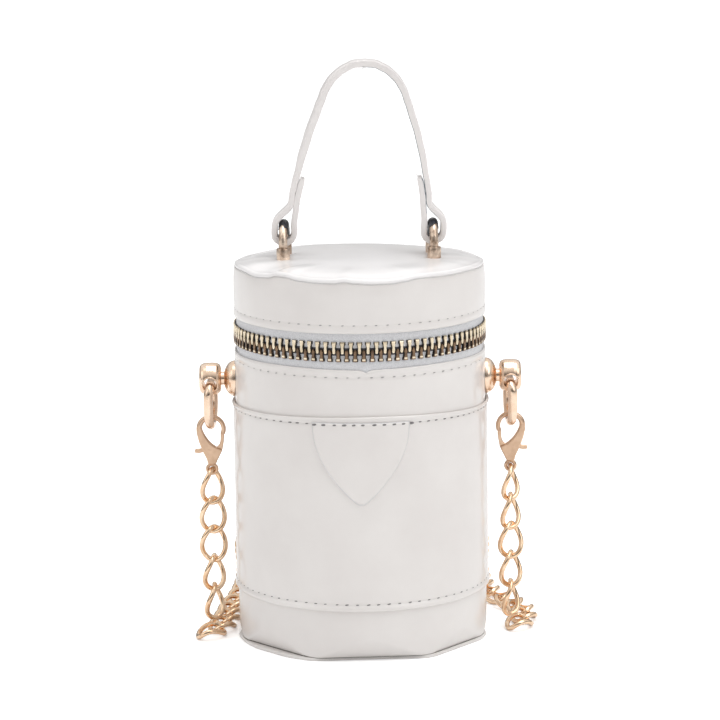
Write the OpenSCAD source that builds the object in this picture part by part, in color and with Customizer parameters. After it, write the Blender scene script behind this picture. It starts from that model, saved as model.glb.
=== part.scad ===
// Small barrel bag: a stiff leather barrel with a zip-round lid, a top handle and a chain strap.
// The origin is the centre of the base on the floor, +Z is up and the front faces -Y.

/* [Barrel] */
// Outer diameter of the barrel's leather
barrel_d = 99; // [80:1:130]
// Height of the barrel's upper edge above the floor
barrel_h = 115.5; // [95:0.5:150]
// Thickness of the patent leather
leather_t = 0.8; // [0.5:0.1:1.2]
// Thickness of the stiffening board
board_t = 1.8; // [1:0.1:3]
// Thickness of the lining
lining_t = 0.5; // [0.3:0.1:1]
// Height over which the round wall runs into the flat-sided base
facet_rise = 9; // [6:1:26]
// Thickness of the leather-covered base panel
base_t = 1.3; // [1:0.1:3]
// How far the rim of the base stands out past the wall
base_lip = 0.6; // [0.2:0.1:1.5]

/* [Wrap and tab] */
// Distance from the barrel's upper edge down to the wrap
wrap_margin = 18.3; // [12:0.1:30]
// Height of the wrap's lower edge above the floor
wrap_low = 20.6; // [12:0.1:40]
// Thickness of the wrap
wrap_t = 0.7; // [0.4:0.1:1.2]
// How far the wrap's rolled edges stand proud
roll_proud = 0.35; // [0.1:0.05:0.8]
// Height of each rolled edge
roll_h = 2.4; // [1.5:0.1:4]
// Width of the front tab
tab_w = 38.2; // [25:0.1:50]
// Height of the front tab
tab_h = 32.8; // [20:0.1:45]
// Thickness of the front tab
tab_t = 0.9; // [0.5:0.1:1.5]

/* [Zip] */
// Distance between the barrel's edge and the lid's edge
zip_gap = 14.5; // [13.5:0.5:20]
// Width across both rows of closed teeth
chain_w = 7.3; // [5.5:0.1:9]
// Spacing of the teeth along one row
tooth_pitch = 3.2; // [2.6:0.1:4.5]
// Width of one tooth along its row
tooth_w = 1.6; // [1:0.1:2]
// Depth of one tooth, from its face to its back
tooth_deep = 2.8; // [2:0.1:3.5]
// Thickness of the tape
tape_t = 0.6; // [0.4:0.1:0.9]
// How far the tape is tucked behind the leather's edges
tape_tuck = 6; // [4:0.5:9]
// Angle of the back that the hinge strip takes, in degrees
hinge_angle = 60; // [40:1:80]
// Angle of each short end stretch beside the hinge, in degrees
end_angle = 18; // [17:1:24]
// Length of the slider along the zip
slider_l = 12; // [9:0.5:13]
// Height of the slider across the zip
slider_h = 9.4; // [8:0.1:10.5]
// Thickness of each slider plate
plate_t = 1.4; // [1:0.1:2]
// Wire of the slider's bail
bail_wire = 1.5; // [1.2:0.1:2]
// Length of the pull tab
pull_l = 8.6; // [6:0.1:9.5]
// Width of the pull tab
pull_w = 5.2; // [4:0.1:7]
// Thickness of the pull tab
pull_t = 1.1; // [0.8:0.1:1.6]

/* [Lid] */
// Height of the lid's band
lid_h = 18.9; // [12:0.1:30]
// Height of the lid's crown above its rim
crown_h = 3.3; // [1:0.1:5]
// Height of the turned rim round the lid's top
rim_h = 1.5; // [1:0.1:3]
// How far the turned rim overhangs the band
rim_out = 0.4; // [0.1:0.1:1]

/* [Handle] */
// Distance from the middle of the lid to each staple
staple_x = 29.2; // [24:0.1:36]
// Wire of the staples
staple_wire = 3.3; // [2.5:0.1:4]
// Distance between the two legs of a staple
staple_w = 14; // [12:0.5:18]
// Height of a staple's straight legs above their collars
staple_leg = 1.2; // [0.5:0.1:4]
// Diameter of the collars
collar_d = 4.9; // [4:0.1:6]
// Height of the collars
collar_h = 4.3; // [2:0.1:7]
// Thickness of the black sleeve on each arch
sleeve_t = 0.35; // [0.2:0.05:0.5]
// Thickness of the handle strap
strap_t = 2.2; // [1.6:0.1:2.8]
// Width of the handle strap
strap_w = 8.2; // [6:0.1:8.4]
// Inner width of the loops at the strap's ends
loop_gap = 5.4; // [5.2:0.1:8]
// Height of the arch from the loops' crotch to its top
handle_rise = 55.2; // [40:0.1:90]
// How far the crotch of each loop lies inward of its staple
crotch_in = 2; // [0:0.1:3]
// How far the top of the arch leans to the right
handle_lean = 3; // [0:0.5:6]

/* [Side fittings] */
// Distance from the barrel's upper edge down to the posts
post_drop = 12.3; // [10:0.1:20]
// Diameter of the dome against the wall
dome_d = 14.2; // [10:0.1:18]
// Height of the dome
dome_h = 4.3; // [3:0.1:7]
// Diameter of the neck
neck_d = 5.2; // [4:0.1:7]
// Length of the neck
neck_l = 1.1; // [0.6:0.1:4]
// Diameter of the drilled head
head_d = 12.6; // [11:0.1:16]
// Thickness of the drilled head
head_t = 8.6; // [7.5:0.1:12]
// Diameter of the hole through the head
hole_d = 5.6; // [4.4:0.1:6]
// How far the hole lies below the middle of the head
hole_drop = 1.6; // [0:0.1:2]
// Wire of the D-ring
ring_wire = 3.6; // [2.5:0.1:4]
// Distance between the two legs of the D-ring
ring_w = 17; // [15:0.1:22]
// Distance from the D-ring's bar down to the bottom of its bow
ring_drop = 16; // [13:0.1:24]
// Width of the claw
claw_w = 11.7; // [10.5:0.1:15]
// Thickness of the claw's cheeks together
claw_t = 3.6; // [3:0.1:5]
// Thickness of the claw's gate
gate_t = 1.4; // [0.9:0.1:1.6]
// Diameter of the gate's pin
pin_d = 1.2; // [0.8:0.1:1.4]

/* [Chain] */
// Wire of the chain links
link_wire = 1.6; // [1.2:0.1:2]
// Outer width of a link
link_w = 11.2; // [9:0.1:14]
// Play between two links that pull on each other
link_play = 0.3; // [0.2:0.05:0.6]
// Twist of a link from end to end, in degrees
link_twist = 70; // [50:1:90]

/* [Hidden] */

// Running gap between pieces that move, gap between glued layers, and overrun of cuts
gap = 0.3;
glue = 0.05;
over = 1;
fit = 0.05;

// Smoothness of round forms and of small round pieces
$fn = 96;
wire_fn = 32;

white = [0.93, 0.92, 0.91];
card = [0.72, 0.66, 0.56];
cloth = [0.80, 0.79, 0.78];
tape_grey = [0.80, 0.79, 0.79];
tooth_brass = [0.78, 0.68, 0.50];
gold = [0.93, 0.78, 0.62];
chain_gold = [0.95, 0.77, 0.50];
black = [0.08, 0.08, 0.10];

// Corners of the base, as angles from the front, with the right side positive
corner_angles = [-71, -21, 30, 72, 122, 176, 235];
// How far each side of the base panel bows from its chord towards the full circle
base_bow_shares = [0.85, 0, 0.35, 0.4, 0.5, 0.4, 0.6];

barrel_r = barrel_d / 2;
board_in = leather_t + glue;
lining_in = board_in + board_t + glue;
tape_r = barrel_r - board_in;
wrap_high = barrel_h - wrap_margin;
wrap_r = barrel_r + glue + wrap_t;

// The zip's middle height and the angles of its ends, measured from +X
lid_low = barrel_h + zip_gap;
zip_z = barrel_h + zip_gap / 2;
zip_start = 90 + hinge_angle / 2;
zip_end = 450 - hinge_angle / 2;
open_start = zip_start + end_angle;
open_end = zip_end - end_angle;
// The heads of the two rows reach past the middle by a share of the chain's width
mesh_share = 0.07;
neck_share = 0.18;
head_share = 0.72;
tooth_foot = chain_w / 2;
tooth_r = tape_r - tape_t / 2;
tooth_out = tooth_r + tooth_deep / 2;
tooth_step = tooth_pitch / tooth_r * 180 / PI;
tape_reach = tooth_foot - 1.2 * tape_t;

// The slider's plates run past the teeth with the running gap
plate_out_r = max(tooth_out, wrap_r) + gap;
plate_in_r = tooth_r - tooth_deep / 2 - gap;
slider_half = slider_l / 2 / plate_out_r * 180 / PI;
stop_half = tooth_step / 3;
slider_angle = zip_end - 360 - 3 * stop_half - slider_half;
link_loop_w = 3.4 * bail_wire * 0.75;
pull_wire = 0.75 * bail_wire;
bail_r = plate_out_r + plate_t + gap + link_loop_w / 2 + pull_wire / 2;
pull_loop_h = 3.4 * bail_wire;

// Lid heights
lid_top_z = lid_low + lid_h;
crown_power = 4;
function crown_z(r) = lid_top_z + crown_h * (1 - pow(r / barrel_r, crown_power));
lid_board_top = lid_top_z - leather_t;

// Staple and handle heights
foot_z = crown_z(staple_x - collar_d / 2) + glue;
arch_z = foot_z + collar_h + staple_leg;
arch_r = staple_w / 2;
shank_d = 0.7 * staple_wire;
nut_h = 0.6 * staple_wire;
nut_d = 2.2 * staple_wire;
loop_r = loop_gap / 2 + strap_t / 2;
loop_z = arch_z + strap_t / 2 + loop_r - 0.1 * strap_t;
crotch_z = arch_z + arch_r + staple_wire / 2 + sleeve_t + 2.6 * strap_t;

// Side fittings, from the post down to the chain
post_z = barrel_h - post_drop;
dome_x = barrel_r + glue;
head_x = dome_x + dome_h + neck_l;
hang_x = head_x + head_t / 2;
hole_z = post_z - hole_drop;
bar_z = hole_z - (hole_d - ring_wire) / 2 + 2 * fit;
bow_r = ring_w / 2;
bow_z = bar_z - ring_drop;
claw_wire = 0.17 * claw_w;
claw_z = bow_z + ring_wire / 2 + 4 * fit + claw_wire - claw_w / 2;
eye_drop = 1.385 * claw_w;
eye_wire = 0.11 * claw_w;
eye_r = link_wire / 2 + gap + 2 * fit + eye_wire / 2;
eye_z = claw_z - eye_drop;
post_shank_d = 0.6 * neck_d;

// Chain: five links fill the drop from the claw's eye to just above the links on the floor
hung = 5;
function link_side(t) = (link_w - link_wire) / 2 * sin(t);
function link_turn(t) = link_twist / 2 * cos(t);
lie_h = link_wire + 2 * glue + 2 * max([for (t = [0 : 10 : 180]) link_side(t) * sin(link_turn(t))]);
link_pitch = (eye_z - 1.5 * link_wire - link_play - lie_h - gap) / hung;
link_l = link_pitch + 2 * link_wire + link_play;
roll_left = [40, 28, 16, 45, 60];
roll_right = [59, 50, 38, 40, 59];

// Route of the chain on the floor, from the left side round the back to the right side, as shares
// of the distance between the barrel's middle and the hanging chain
bulb_share = 0.365;
function bulb(x, y, from, to) = [for (i = [0 : 6])
    let(a = from + (to - from) * i / 6) [x + bulb_share * cos(a), y + bulb_share * sin(a)]];
route_shares = concat(
    [[-1.148, -0.37], [-1.067, -0.231], [-0.987, -0.093], [-0.943, 0.025], [-0.928, 0.169],
        [-0.916, 0.338], [-0.886, 0.557], [-0.846, 0.78], [-0.82, 1.05], [-0.81, 1.35], [-0.82, 1.7],
        [-0.845, 2.1]],
    bulb(-0.49, 2.45, 180, 0),
    [[-0.17, 2.2], [-0.25, 2], [-0.33, 1.82]],
    bulb(0, 1.58, 180, 360),
    [[0.33, 1.82], [0.25, 2], [0.17, 2.2]],
    bulb(0.49, 2.45, 180, 0),
    [[0.845, 2.1], [0.82, 1.7], [0.815, 1.35], [0.832, 1.063], [0.869, 0.844], [0.937, 0.658],
        [1.03, 0.49], [1.089, 0.338], [1.105, 0.177], [1.077, 0.044], [1.028, -0.089],
        [0.982, -0.211]]);
// Points of the smooth route between two chosen ones
route_steps = 6;

// Outline of the tab's right edge, as shares of half its width and of its height
tab_shares = [[1, 0], [0.99, 0.12], [0.955, 0.25], [0.88, 0.38], [0.78, 0.5], [0.66, 0.61],
    [0.53, 0.71], [0.39, 0.81], [0.24, 0.90], [0.12, 0.96], [0.05, 0.99]];

// Right half of the handle's arch, as shares of the half width at the crotch and of the rise
arch_shares = [[0, 1], [0.14, 0.993], [0.28, 0.965], [0.417, 0.92], [0.551, 0.84], [0.632, 0.757],
    [0.689, 0.68], [0.781, 0.52], [0.858, 0.357], [0.923, 0.198], [0.957, 0.11], [0.978, 0.05],
    [1, -0.01]];

// Outlines of the claw, as shares of its width, from the middle of its bow
cheek_shares = [[-0.50, 0.06], [-0.49, -0.14], [-0.44, -0.37], [-0.37, -0.58], [-0.28, -0.80],
    [-0.17, -1.03], [-0.11, -1.20], [0.11, -1.20], [0.20, -1.05], [0.29, -0.87], [0.34, -0.72],
    [0.17, -0.64], [0.09, -0.59], [-0.04, -0.48], [-0.16, -0.33], [-0.25, -0.17], [-0.31, -0.02],
    [-0.325, 0.06]];
gate_shares = [[0.31, -0.225], [0.42, -0.225], [0.425, -0.34], [0.38, -0.62], [0.32, -0.80],
    [0.12, -0.86], [-0.10, -0.87], [-0.28, -0.80], [-0.42, -0.83], [-0.56, -0.815], [-0.575, -0.76],
    [-0.555, -0.70], [-0.40, -0.68], [-0.25, -0.64], [-0.08, -0.60], [0.10, -0.645], [0.24, -0.56],
    [0.30, -0.40]];
pin_shares = [-0.10, -0.735];

function spline_at(a, b, c, d, u) = 0.5 * ((2 * b) + (c - a) * u + (2 * a - 5 * b + 4 * c - d) * u * u
    + (3 * b - a - 3 * c + d) * u * u * u);
// A smooth line through the points
function smooth(p, n) = let(last = len(p) - 1) [for (i = [0 : last - 1]) for (k = [0 : n - 1])
    spline_at(p[max(i - 1, 0)], p[i], p[i + 1], p[min(i + 2, last)], k / n), p[last]];
function reverse(p) = [for (i = [len(p) - 1 : -1 : 0]) p[i]];
function unit(v) = v / norm(v);
function side(p, i) = let(d = unit(p[min(i + 1, len(p) - 1)] - p[max(i - 1, 0)])) [-d[1], d[0]];
function beside(p, off) = [for (i = [0 : len(p) - 1]) p[i] + off * side(p, i)];
function ribbon(p, t) = concat(beside(p, t / 2), reverse(beside(p, -t / 2)));
function scaled(shares, w, h) = [for (s = shares) [s[0] * w, s[1] * h]];
// Length of the line up to each of its points
function lengths(p) = [for (i = 0, s = 0; i < len(p);
    s = s + (i + 1 < len(p) ? norm(p[i + 1] - p[i]) : 0), i = i + 1) s];

// Walls

module facet_cut(i, inset, bow = 0) {
    from = corner_angles[i];
    to = i + 1 < len(corner_angles) ? corner_angles[i + 1] : corner_angles[0] + 360;
    chord = barrel_r * (bow + (1 - bow) * cos((to - from) / 2));
    lean = atan2(barrel_r - chord, facet_rise);
    rotate([0, 0, (from + to) / 2 - 90])
        translate([chord, 0, 0])
            rotate([0, lean, 0])
                translate([-inset, -barrel_d, -barrel_d])
                    cube([barrel_d, 2 * barrel_d, 2 * barrel_d]);
}

// The barrel's outer form, set in by an inset, between two heights
module barrel_form(inset, low, high) {
    difference() {
        translate([0, 0, low]) cylinder(r = barrel_r - inset, h = high - low);
        for (i = [0 : len(corner_angles) - 1]) facet_cut(i, inset);
    }
}

module tube(outer, inner, low, high) {
    difference() {
        translate([0, 0, low]) cylinder(r = outer, h = high - low);
        translate([0, 0, low - over]) cylinder(r = inner, h = high - low + 2 * over);
    }
}

// A tube between two angles
module tube_arc(outer, inner, low, high, from, to) {
    translate([0, 0, low])
        rotate([0, 0, from])
            rotate_extrude(angle = to - from)
                translate([inner, 0]) square([outer - inner, high - low]);
}

// Part of a round wire ring in the XY plane
module wire_arc(r, wire, from, to) {
    rotate([0, 0, from])
        rotate_extrude(angle = to - from)
            translate([r, 0]) circle(d = wire, $fn = wire_fn);
}

module post_holes(d) {
    translate([-barrel_d, 0, post_z])
        rotate([0, 90, 0]) cylinder(d = d, h = 2 * barrel_d, $fn = wire_fn);
}

module base_panel() {
    color(white) difference() {
        cylinder(r = barrel_r + base_lip, h = base_t);
        for (i = [0 : len(corner_angles) - 1]) facet_cut(i, -base_lip, base_bow_shares[i]);
    }
}

module base_board() {
    color(card) barrel_form(lining_in, base_t + glue, base_t + glue + board_t);
}

module barrel_leather() {
    color(white) difference() {
        barrel_form(0, base_t + glue, barrel_h);
        barrel_form(leather_t, base_t, barrel_h + over);
        post_holes(post_shank_d + 2 * fit);
    }
}

module barrel_board() {
    color(card) difference() {
        barrel_form(board_in, base_t + glue, barrel_h - leather_t);
        barrel_form(board_in + board_t, base_t, barrel_h + over);
        tube(barrel_r, tape_r - tape_t - glue, barrel_h - tape_tuck - glue, barrel_h + over);
        post_holes(post_shank_d + 2 * fit);
    }
}

module barrel_lining() {
    floor_z = base_t + glue + board_t + glue;
    color(cloth) difference() {
        barrel_form(lining_in, floor_z, barrel_h - leather_t);
        barrel_form(lining_in + lining_t, floor_z + lining_t, barrel_h + over);
        post_holes(post_shank_d + 2 * fit);
    }
}

// The wrap is a second layer with a rolled edge above and below
module wrap_band() {
    bead_r = roll_h / 2;
    color(white) difference() {
        rotate_extrude() {
            translate([barrel_r + glue, wrap_low]) square([wrap_t, wrap_high - wrap_low]);
            for (z = [wrap_low, wrap_high - roll_h])
                intersection() {
                    translate([wrap_r + roll_proud - bead_r, z + bead_r])
                        circle(r = bead_r, $fn = wire_fn);
                    translate([barrel_r + glue, z]) square([bead_r + wrap_t, roll_h]);
                }
        }
        for (s = [-1, 1])
            translate([0, 0, post_z])
                rotate([0, s * 90, 0]) cylinder(d = dome_d + 2 * gap, h = barrel_d);
    }
}

module front_tab() {
    outline = scaled(tab_shares, tab_w / 2, -tab_h);
    tab_high = wrap_high - roll_h - glue;
    color(white) intersection() {
        tube(wrap_r + glue + tab_t, wrap_r + glue, tab_high - tab_h - over, tab_high + over);
        translate([0, 0, tab_high])
            rotate([90, 0, 0])
                linear_extrude(barrel_d)
                    polygon(concat(outline, reverse([for (p = outline) [-p[0], p[1]]])));
    }
}

// Zip

// One tooth at angle 0, with its foot away from the middle and its head towards it; up is 1 or -1
module tooth(up) {
    head = mesh_share * chain_w;
    neck = neck_share * chain_w;
    slot_from = tooth_foot - tape_reach - glue;
    translate([tooth_r + tooth_deep / 2, 0, zip_z])
        rotate([90, 0, -90])
            difference() {
                linear_extrude(tooth_deep)
                    polygon([[-tooth_w / 2, up * tooth_foot], [-tooth_w / 2, up * neck],
                        [-head_share * tooth_w / 2, -up * head], [head_share * tooth_w / 2, -up * head],
                        [tooth_w / 2, up * neck], [tooth_w / 2, up * tooth_foot]]);
                translate([-tooth_w, up > 0 ? slot_from : -slot_from - chain_w,
                    tooth_deep / 2 - tape_t / 2 - glue])
                    cube([2 * tooth_w, chain_w, tape_t + 2 * glue]);
            }
}

// The teeth of one row between two angles; the rows are half a step apart
module tooth_row(up, from, to) {
    shift = up > 0 ? tooth_step / 2 : 0;
    first = ceil((from - zip_start - shift) / tooth_step + 0.5);
    last = floor((to - zip_start - shift) / tooth_step - 0.5);
    for (i = [first : last])
        rotate([0, 0, zip_start + shift + i * tooth_step]) tooth(up);
}

module tape_arc(up, from, to) {
    low = up > 0 ? zip_z + tooth_foot - tape_reach : barrel_h - tape_tuck;
    high = up > 0 ? lid_low + tape_tuck : zip_z - tooth_foot + tape_reach;
    tube_arc(tape_r, tape_r - tape_t, low, high, from, to);
}

module zip_tape_lower() {
    color(tape_grey) tape_arc(-1, zip_start, zip_end);
}

module zip_tape_upper() {
    color(tape_grey) tape_arc(1, open_start + gap, open_end - gap);
}

module zip_teeth_lower() {
    color(tooth_brass) tooth_row(-1, zip_start + 2 * stop_half, zip_end - 2 * stop_half);
}

module zip_teeth_upper() {
    color(tooth_brass) tooth_row(1, open_start, open_end);
}

// Short upper stretches beside the hinge that are sewn down with the barrel
module zip_end_stretches() {
    low = zip_z + tooth_foot - tape_reach;
    for (span = [[zip_start, open_start], [open_end, zip_end]]) {
        color(tape_grey)
            tube_arc(tape_r, tape_r - tape_t, low, lid_low - gap, span[0], span[1]);
        color(tooth_brass)
            tooth_row(1, max(span[0], zip_start + 2 * stop_half), min(span[1], zip_end - 2 * stop_half));
    }
}

// A stop at each end clamps both tapes
module zip_stops() {
    reach = tooth_foot - gap;
    color(tooth_brass)
        for (angle = [zip_start + stop_half, zip_end - stop_half])
            difference() {
                tube_arc(tooth_out - glue, tooth_r - tooth_deep / 2 + glue, zip_z - reach, zip_z + reach,
                    angle - stop_half, angle + stop_half);
                for (s = [-1, 1])
                    translate([0, 0, zip_z + s * (tooth_foot - tape_reach - glue + chain_w / 2)])
                        rotate([0, 0, angle])
                            translate([tape_r - tape_t / 2 + glue / 2, 0, 0])
                                cube([tape_t + 3 * glue, 4 * tooth_w, chain_w], center = true);
            }
}

module zip_slider() {
    low = zip_z - slider_h / 2;
    high = zip_z + slider_h / 2;
    bail_half = 0.32 * slider_l;
    color(gold) {
        tube_arc(plate_in_r, plate_in_r - plate_t, low, high,
            slider_angle - slider_half, slider_angle + slider_half);
        tube_arc(plate_out_r + plate_t, plate_out_r, low, high,
            slider_angle - slider_half, slider_angle + slider_half);
        rotate([0, 0, slider_angle])
            translate([bail_r, 0, zip_z]) {
                translate([0, bail_half, 0])
                    rotate([90, 0, 0]) cylinder(d = bail_wire, h = 2 * bail_half, $fn = wire_fn);
                for (s = [-1, 1])
                    translate([-(bail_r - plate_out_r - plate_t / 2), s * bail_half - bail_wire / 2,
                        -bail_wire / 2 - glue])
                        cube([bail_r - plate_out_r - plate_t / 2 + bail_wire / 2 + glue, bail_wire,
                            bail_wire + 2 * glue]);
            }
    }
}

// A small oval ring from the bail to the tab, in the plane that points out from the barrel
module zip_pull_link() {
    r = link_loop_w / 2;
    drop = pull_loop_h - 2 * r;
    top = zip_z + bail_wire / 2 + pull_wire / 2 + 2 * fit - r;
    color(gold)
        rotate([0, 0, slider_angle])
            translate([bail_r, 0, top])
                rotate([90, 0, 0]) {
                    wire_arc(r, pull_wire, 0, 180);
                    translate([0, -drop]) wire_arc(r, pull_wire, 180, 360);
                    for (s = [-1, 1])
                        translate([s * r, 0, 0])
                            rotate([90, 0, 0]) cylinder(d = pull_wire, h = drop, $fn = wire_fn);
                }
}

pull_hole_z = zip_z + bail_wire / 2 + pull_wire / 2 + 2 * fit - pull_loop_h;
module zip_pull() {
    hole_r = pull_wire / 2 + gap;
    drop = pull_l - 0.8 * pull_w;
    color(gold)
        rotate([0, 0, slider_angle])
            translate([bail_r + pull_t / 2, 0, pull_hole_z])
                rotate([90, 0, -90])
                    linear_extrude(pull_t)
                        difference() {
                            hull() {
                                translate([0, -fit]) circle(r = 0.3 * pull_w, $fn = wire_fn);
                                translate([0, -drop]) circle(r = pull_w / 2, $fn = wire_fn);
                            }
                            circle(r = hole_r, $fn = wire_fn);
                        }
}

// Hinge strip, in two halves that meet at the fold

module hinge_strip_lower() {
    color(white)
        tube_arc(tape_r, tape_r - tape_t, barrel_h - tape_tuck, zip_z - fit,
            zip_end - 360 + fit, zip_start - fit);
}

module hinge_strip_upper() {
    color(white)
        tube_arc(tape_r, tape_r - tape_t, zip_z + gap, lid_low + tape_tuck,
            zip_end - 360 + fit, zip_start - fit);
}

// Lid

module staple_holes(d) {
    for (x = [-staple_x, staple_x]) for (y = [-arch_r, arch_r])
        translate([x, y, lid_low]) cylinder(d = d, h = lid_h + crown_h + over, $fn = wire_fn);
}

module lid_band() {
    color(white) tube(barrel_r, barrel_r - leather_t, lid_low, lid_top_z - rim_h - glue);
}

// Points of the crown's profile, lowered by an amount, out to a radius
crown_steps = 12;
function crown_line(lower, reach) = [for (i = [0 : crown_steps])
    let(r = reach * i / crown_steps) [r, crown_z(r) - lower]];

module lid_top() {
    edge = barrel_r + rim_out;
    color(white) difference() {
        rotate_extrude()
            polygon(concat(crown_line(0, barrel_r),
                [[edge - glue, lid_top_z - 0.2 * rim_h], [edge, lid_top_z - 0.5 * rim_h],
                    [edge - glue, lid_top_z - 0.8 * rim_h], [barrel_r - leather_t / 2, lid_top_z - rim_h],
                    [barrel_r - leather_t, lid_top_z - rim_h]],
                [[barrel_r - leather_t, lid_top_z - leather_t]],
                reverse(crown_line(leather_t, barrel_r - leather_t - glue))));
        staple_holes(shank_d + 2 * fit);
    }
}

module lid_pad() {
    color(cloth) difference() {
        rotate_extrude()
            polygon(concat(crown_line(leather_t + glue, barrel_r - 2 * leather_t),
                [[barrel_r - 2 * leather_t, lid_board_top + glue], [0, lid_board_top + glue]]));
        staple_holes(shank_d + 2 * fit);
    }
}

module lid_board() {
    color(card) difference() {
        translate([0, 0, lid_low + leather_t])
            cylinder(r = tape_r, h = lid_board_top - lid_low - leather_t);
        translate([0, 0, lid_low])
            cylinder(r = tape_r - board_t, h = lid_board_top - board_t - lid_low);
        tube(barrel_r, tape_r - tape_t - glue, lid_low, lid_low + tape_tuck + glue);
        staple_holes(shank_d + 2 * fit);
    }
}

module lid_lining() {
    r = tape_r - board_t - glue;
    top = lid_board_top - board_t - glue;
    color(cloth) difference() {
        translate([0, 0, lid_low + leather_t]) cylinder(r = r, h = top - lid_low - leather_t);
        translate([0, 0, lid_low]) cylinder(r = r - lining_t, h = top - lining_t - lid_low);
        staple_holes(shank_d + 2 * fit);
    }
}

// A staple: an arch over two collars, each with a shank down through the lid
module staple(x) {
    shank_l = foot_z - (lid_board_top - board_t - glue - lining_t) + nut_h + fit;
    color(gold)
        translate([x, 0, 0]) {
            translate([0, 0, arch_z]) rotate([90, 0, 90]) wire_arc(arch_r, staple_wire, 0, 180);
            for (y = [-arch_r, arch_r])
                translate([0, y, 0]) {
                    translate([0, 0, foot_z + collar_h / 2])
                        cylinder(d = staple_wire, h = collar_h / 2 + staple_leg, $fn = wire_fn);
                    translate([0, 0, foot_z]) cylinder(d = collar_d, h = collar_h, $fn = wire_fn);
                    translate([0, 0, foot_z - shank_l])
                        cylinder(d = shank_d, h = shank_l + fit, $fn = wire_fn);
                }
        }
}

module staple_left() {
    staple(-staple_x);
}

module staple_right() {
    staple(staple_x);
}

module staple_sleeves() {
    spread = 48;
    color(black)
        for (x = [-staple_x, staple_x])
            translate([x, 0, arch_z])
                rotate([90, 0, 90])
                    rotate([0, 0, 90 - spread])
                        rotate_extrude(angle = 2 * spread)
                            translate([arch_r, 0])
                                difference() {
                                    circle(d = staple_wire + 2 * sleeve_t, $fn = wire_fn);
                                    circle(d = staple_wire + 2 * fit, $fn = wire_fn);
                                }
}

module staple_nuts() {
    top = lid_board_top - board_t - 2 * glue - lining_t;
    color(gold)
        for (x = [-staple_x, staple_x]) for (y = [-arch_r, arch_r])
            translate([x, y, top - nut_h])
                difference() {
                    cylinder(d = nut_d, h = nut_h, $fn = 6);
                    translate([0, 0, -over])
                        cylinder(d = shank_d + 2 * fit, h = nut_h + 2 * over, $fn = wire_fn);
                }
}

// Right half of the strap's middle line: down the arch, round the loop, and up the inner side
lap_gap = strap_t + gap + 2 * fit;
crotch_x = staple_x - crotch_in;
arch_half = [for (p = scaled(arch_shares, crotch_x, handle_rise)) [p[0], crotch_z + p[1]]];
loop_bow = [for (a = [0 : -20 : -180]) [staple_x + loop_r * cos(a), loop_z + loop_r * sin(a)]];
shoulder = (crotch_z - loop_z) / 2;
lap_from = 9;
lap = beside([for (i = [lap_from : len(arch_half) - 2]) arch_half[i]], -lap_gap);
right_half = smooth(concat(arch_half, [[staple_x + 0.93 * loop_r, loop_z + 0.78 * shoulder]], loop_bow,
    [[staple_x - loop_r, loop_z + 0.7 * shoulder]], reverse(lap)), 2);

module handle_strap() {
    left_half = [for (p = reverse(right_half)) [-p[0], p[1]]];
    whole = concat(left_half, [for (i = [1 : len(right_half) - 1]) right_half[i]]);
    leant = [for (p = whole) [p[0] + handle_lean * max(0, (p[1] - crotch_z) / handle_rise), p[1]]];
    color(white)
        translate([0, strap_w / 2, 0])
            rotate([90, 0, 0])
                linear_extrude(strap_w) polygon(ribbon(leant, strap_t));
}

// Side fittings

// A post on the right side: dome, neck, drilled head and the shank through the wall
module side_post() {
    dome_steps = 8;
    shank_l = lining_in + lining_t + nut_h + dome_h / 2;
    color(gold) difference() {
        union() {
            translate([dome_x - leather_t, 0, post_z])
                rotate([0, 90, 0])
                    rotate_extrude()
                        polygon(concat([[0, 0], [dome_d / 2, 0]],
                            [for (i = [0 : dome_steps]) let(a = 72 * i / dome_steps)
                                [dome_d / 2 * cos(a), leather_t + dome_h * sin(a) / sin(72)]],
                            [[0, leather_t + dome_h]]));
            translate([dome_x + dome_h / 2, 0, post_z])
                rotate([0, 90, 0])
                    cylinder(d = neck_d, h = dome_h / 2 + neck_l + head_t / 2, $fn = wire_fn);
            translate([head_x, 0, post_z])
                rotate([0, 90, 0])
                    rotate_extrude()
                        polygon([[0, 0], [0.36 * head_d, 0], [0.42 * head_d, 0.04 * head_t],
                            [0.465 * head_d, 0.11 * head_t], [0.49 * head_d, 0.2 * head_t],
                            [0.5 * head_d, 0.32 * head_t], [0.5 * head_d, 0.66 * head_t],
                            [0.485 * head_d, 0.8 * head_t], [0.455 * head_d, 0.9 * head_t],
                            [0.40 * head_d, 0.97 * head_t], [0.33 * head_d, head_t], [0, head_t]]);
            translate([dome_x + dome_h / 2 - shank_l, 0, post_z])
                rotate([0, 90, 0]) cylinder(d = post_shank_d, h = shank_l, $fn = wire_fn);
        }
        difference() {
            translate([0, 0, post_z - dome_d]) cylinder(r = dome_x, h = 2 * dome_d);
            translate([0, 0, post_z])
                rotate([0, 90, 0]) cylinder(d = post_shank_d, h = barrel_d, $fn = wire_fn);
        }
        translate([hang_x, 0, hole_z])
            rotate([90, 0, 0]) cylinder(d = hole_d, h = 2 * head_d, center = true, $fn = wire_fn);
    }
}

module side_post_left() {
    mirror([1, 0, 0]) side_post();
}

module side_post_right() {
    side_post();
}

module side_nuts() {
    flat = sqrt(pow(barrel_r - lining_in - lining_t, 2) - pow(1.1 * neck_d, 2)) - glue;
    color(gold)
        for (s = [0, 1])
            mirror([s, 0, 0])
                translate([flat - nut_h, 0, post_z])
                    rotate([0, 90, 0])
                        difference() {
                            cylinder(d = 2 * neck_d, h = nut_h, $fn = wire_fn);
                            translate([0, 0, -over])
                                cylinder(d = post_shank_d + 2 * fit, h = nut_h + 2 * over, $fn = wire_fn);
                        }
}

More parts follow.
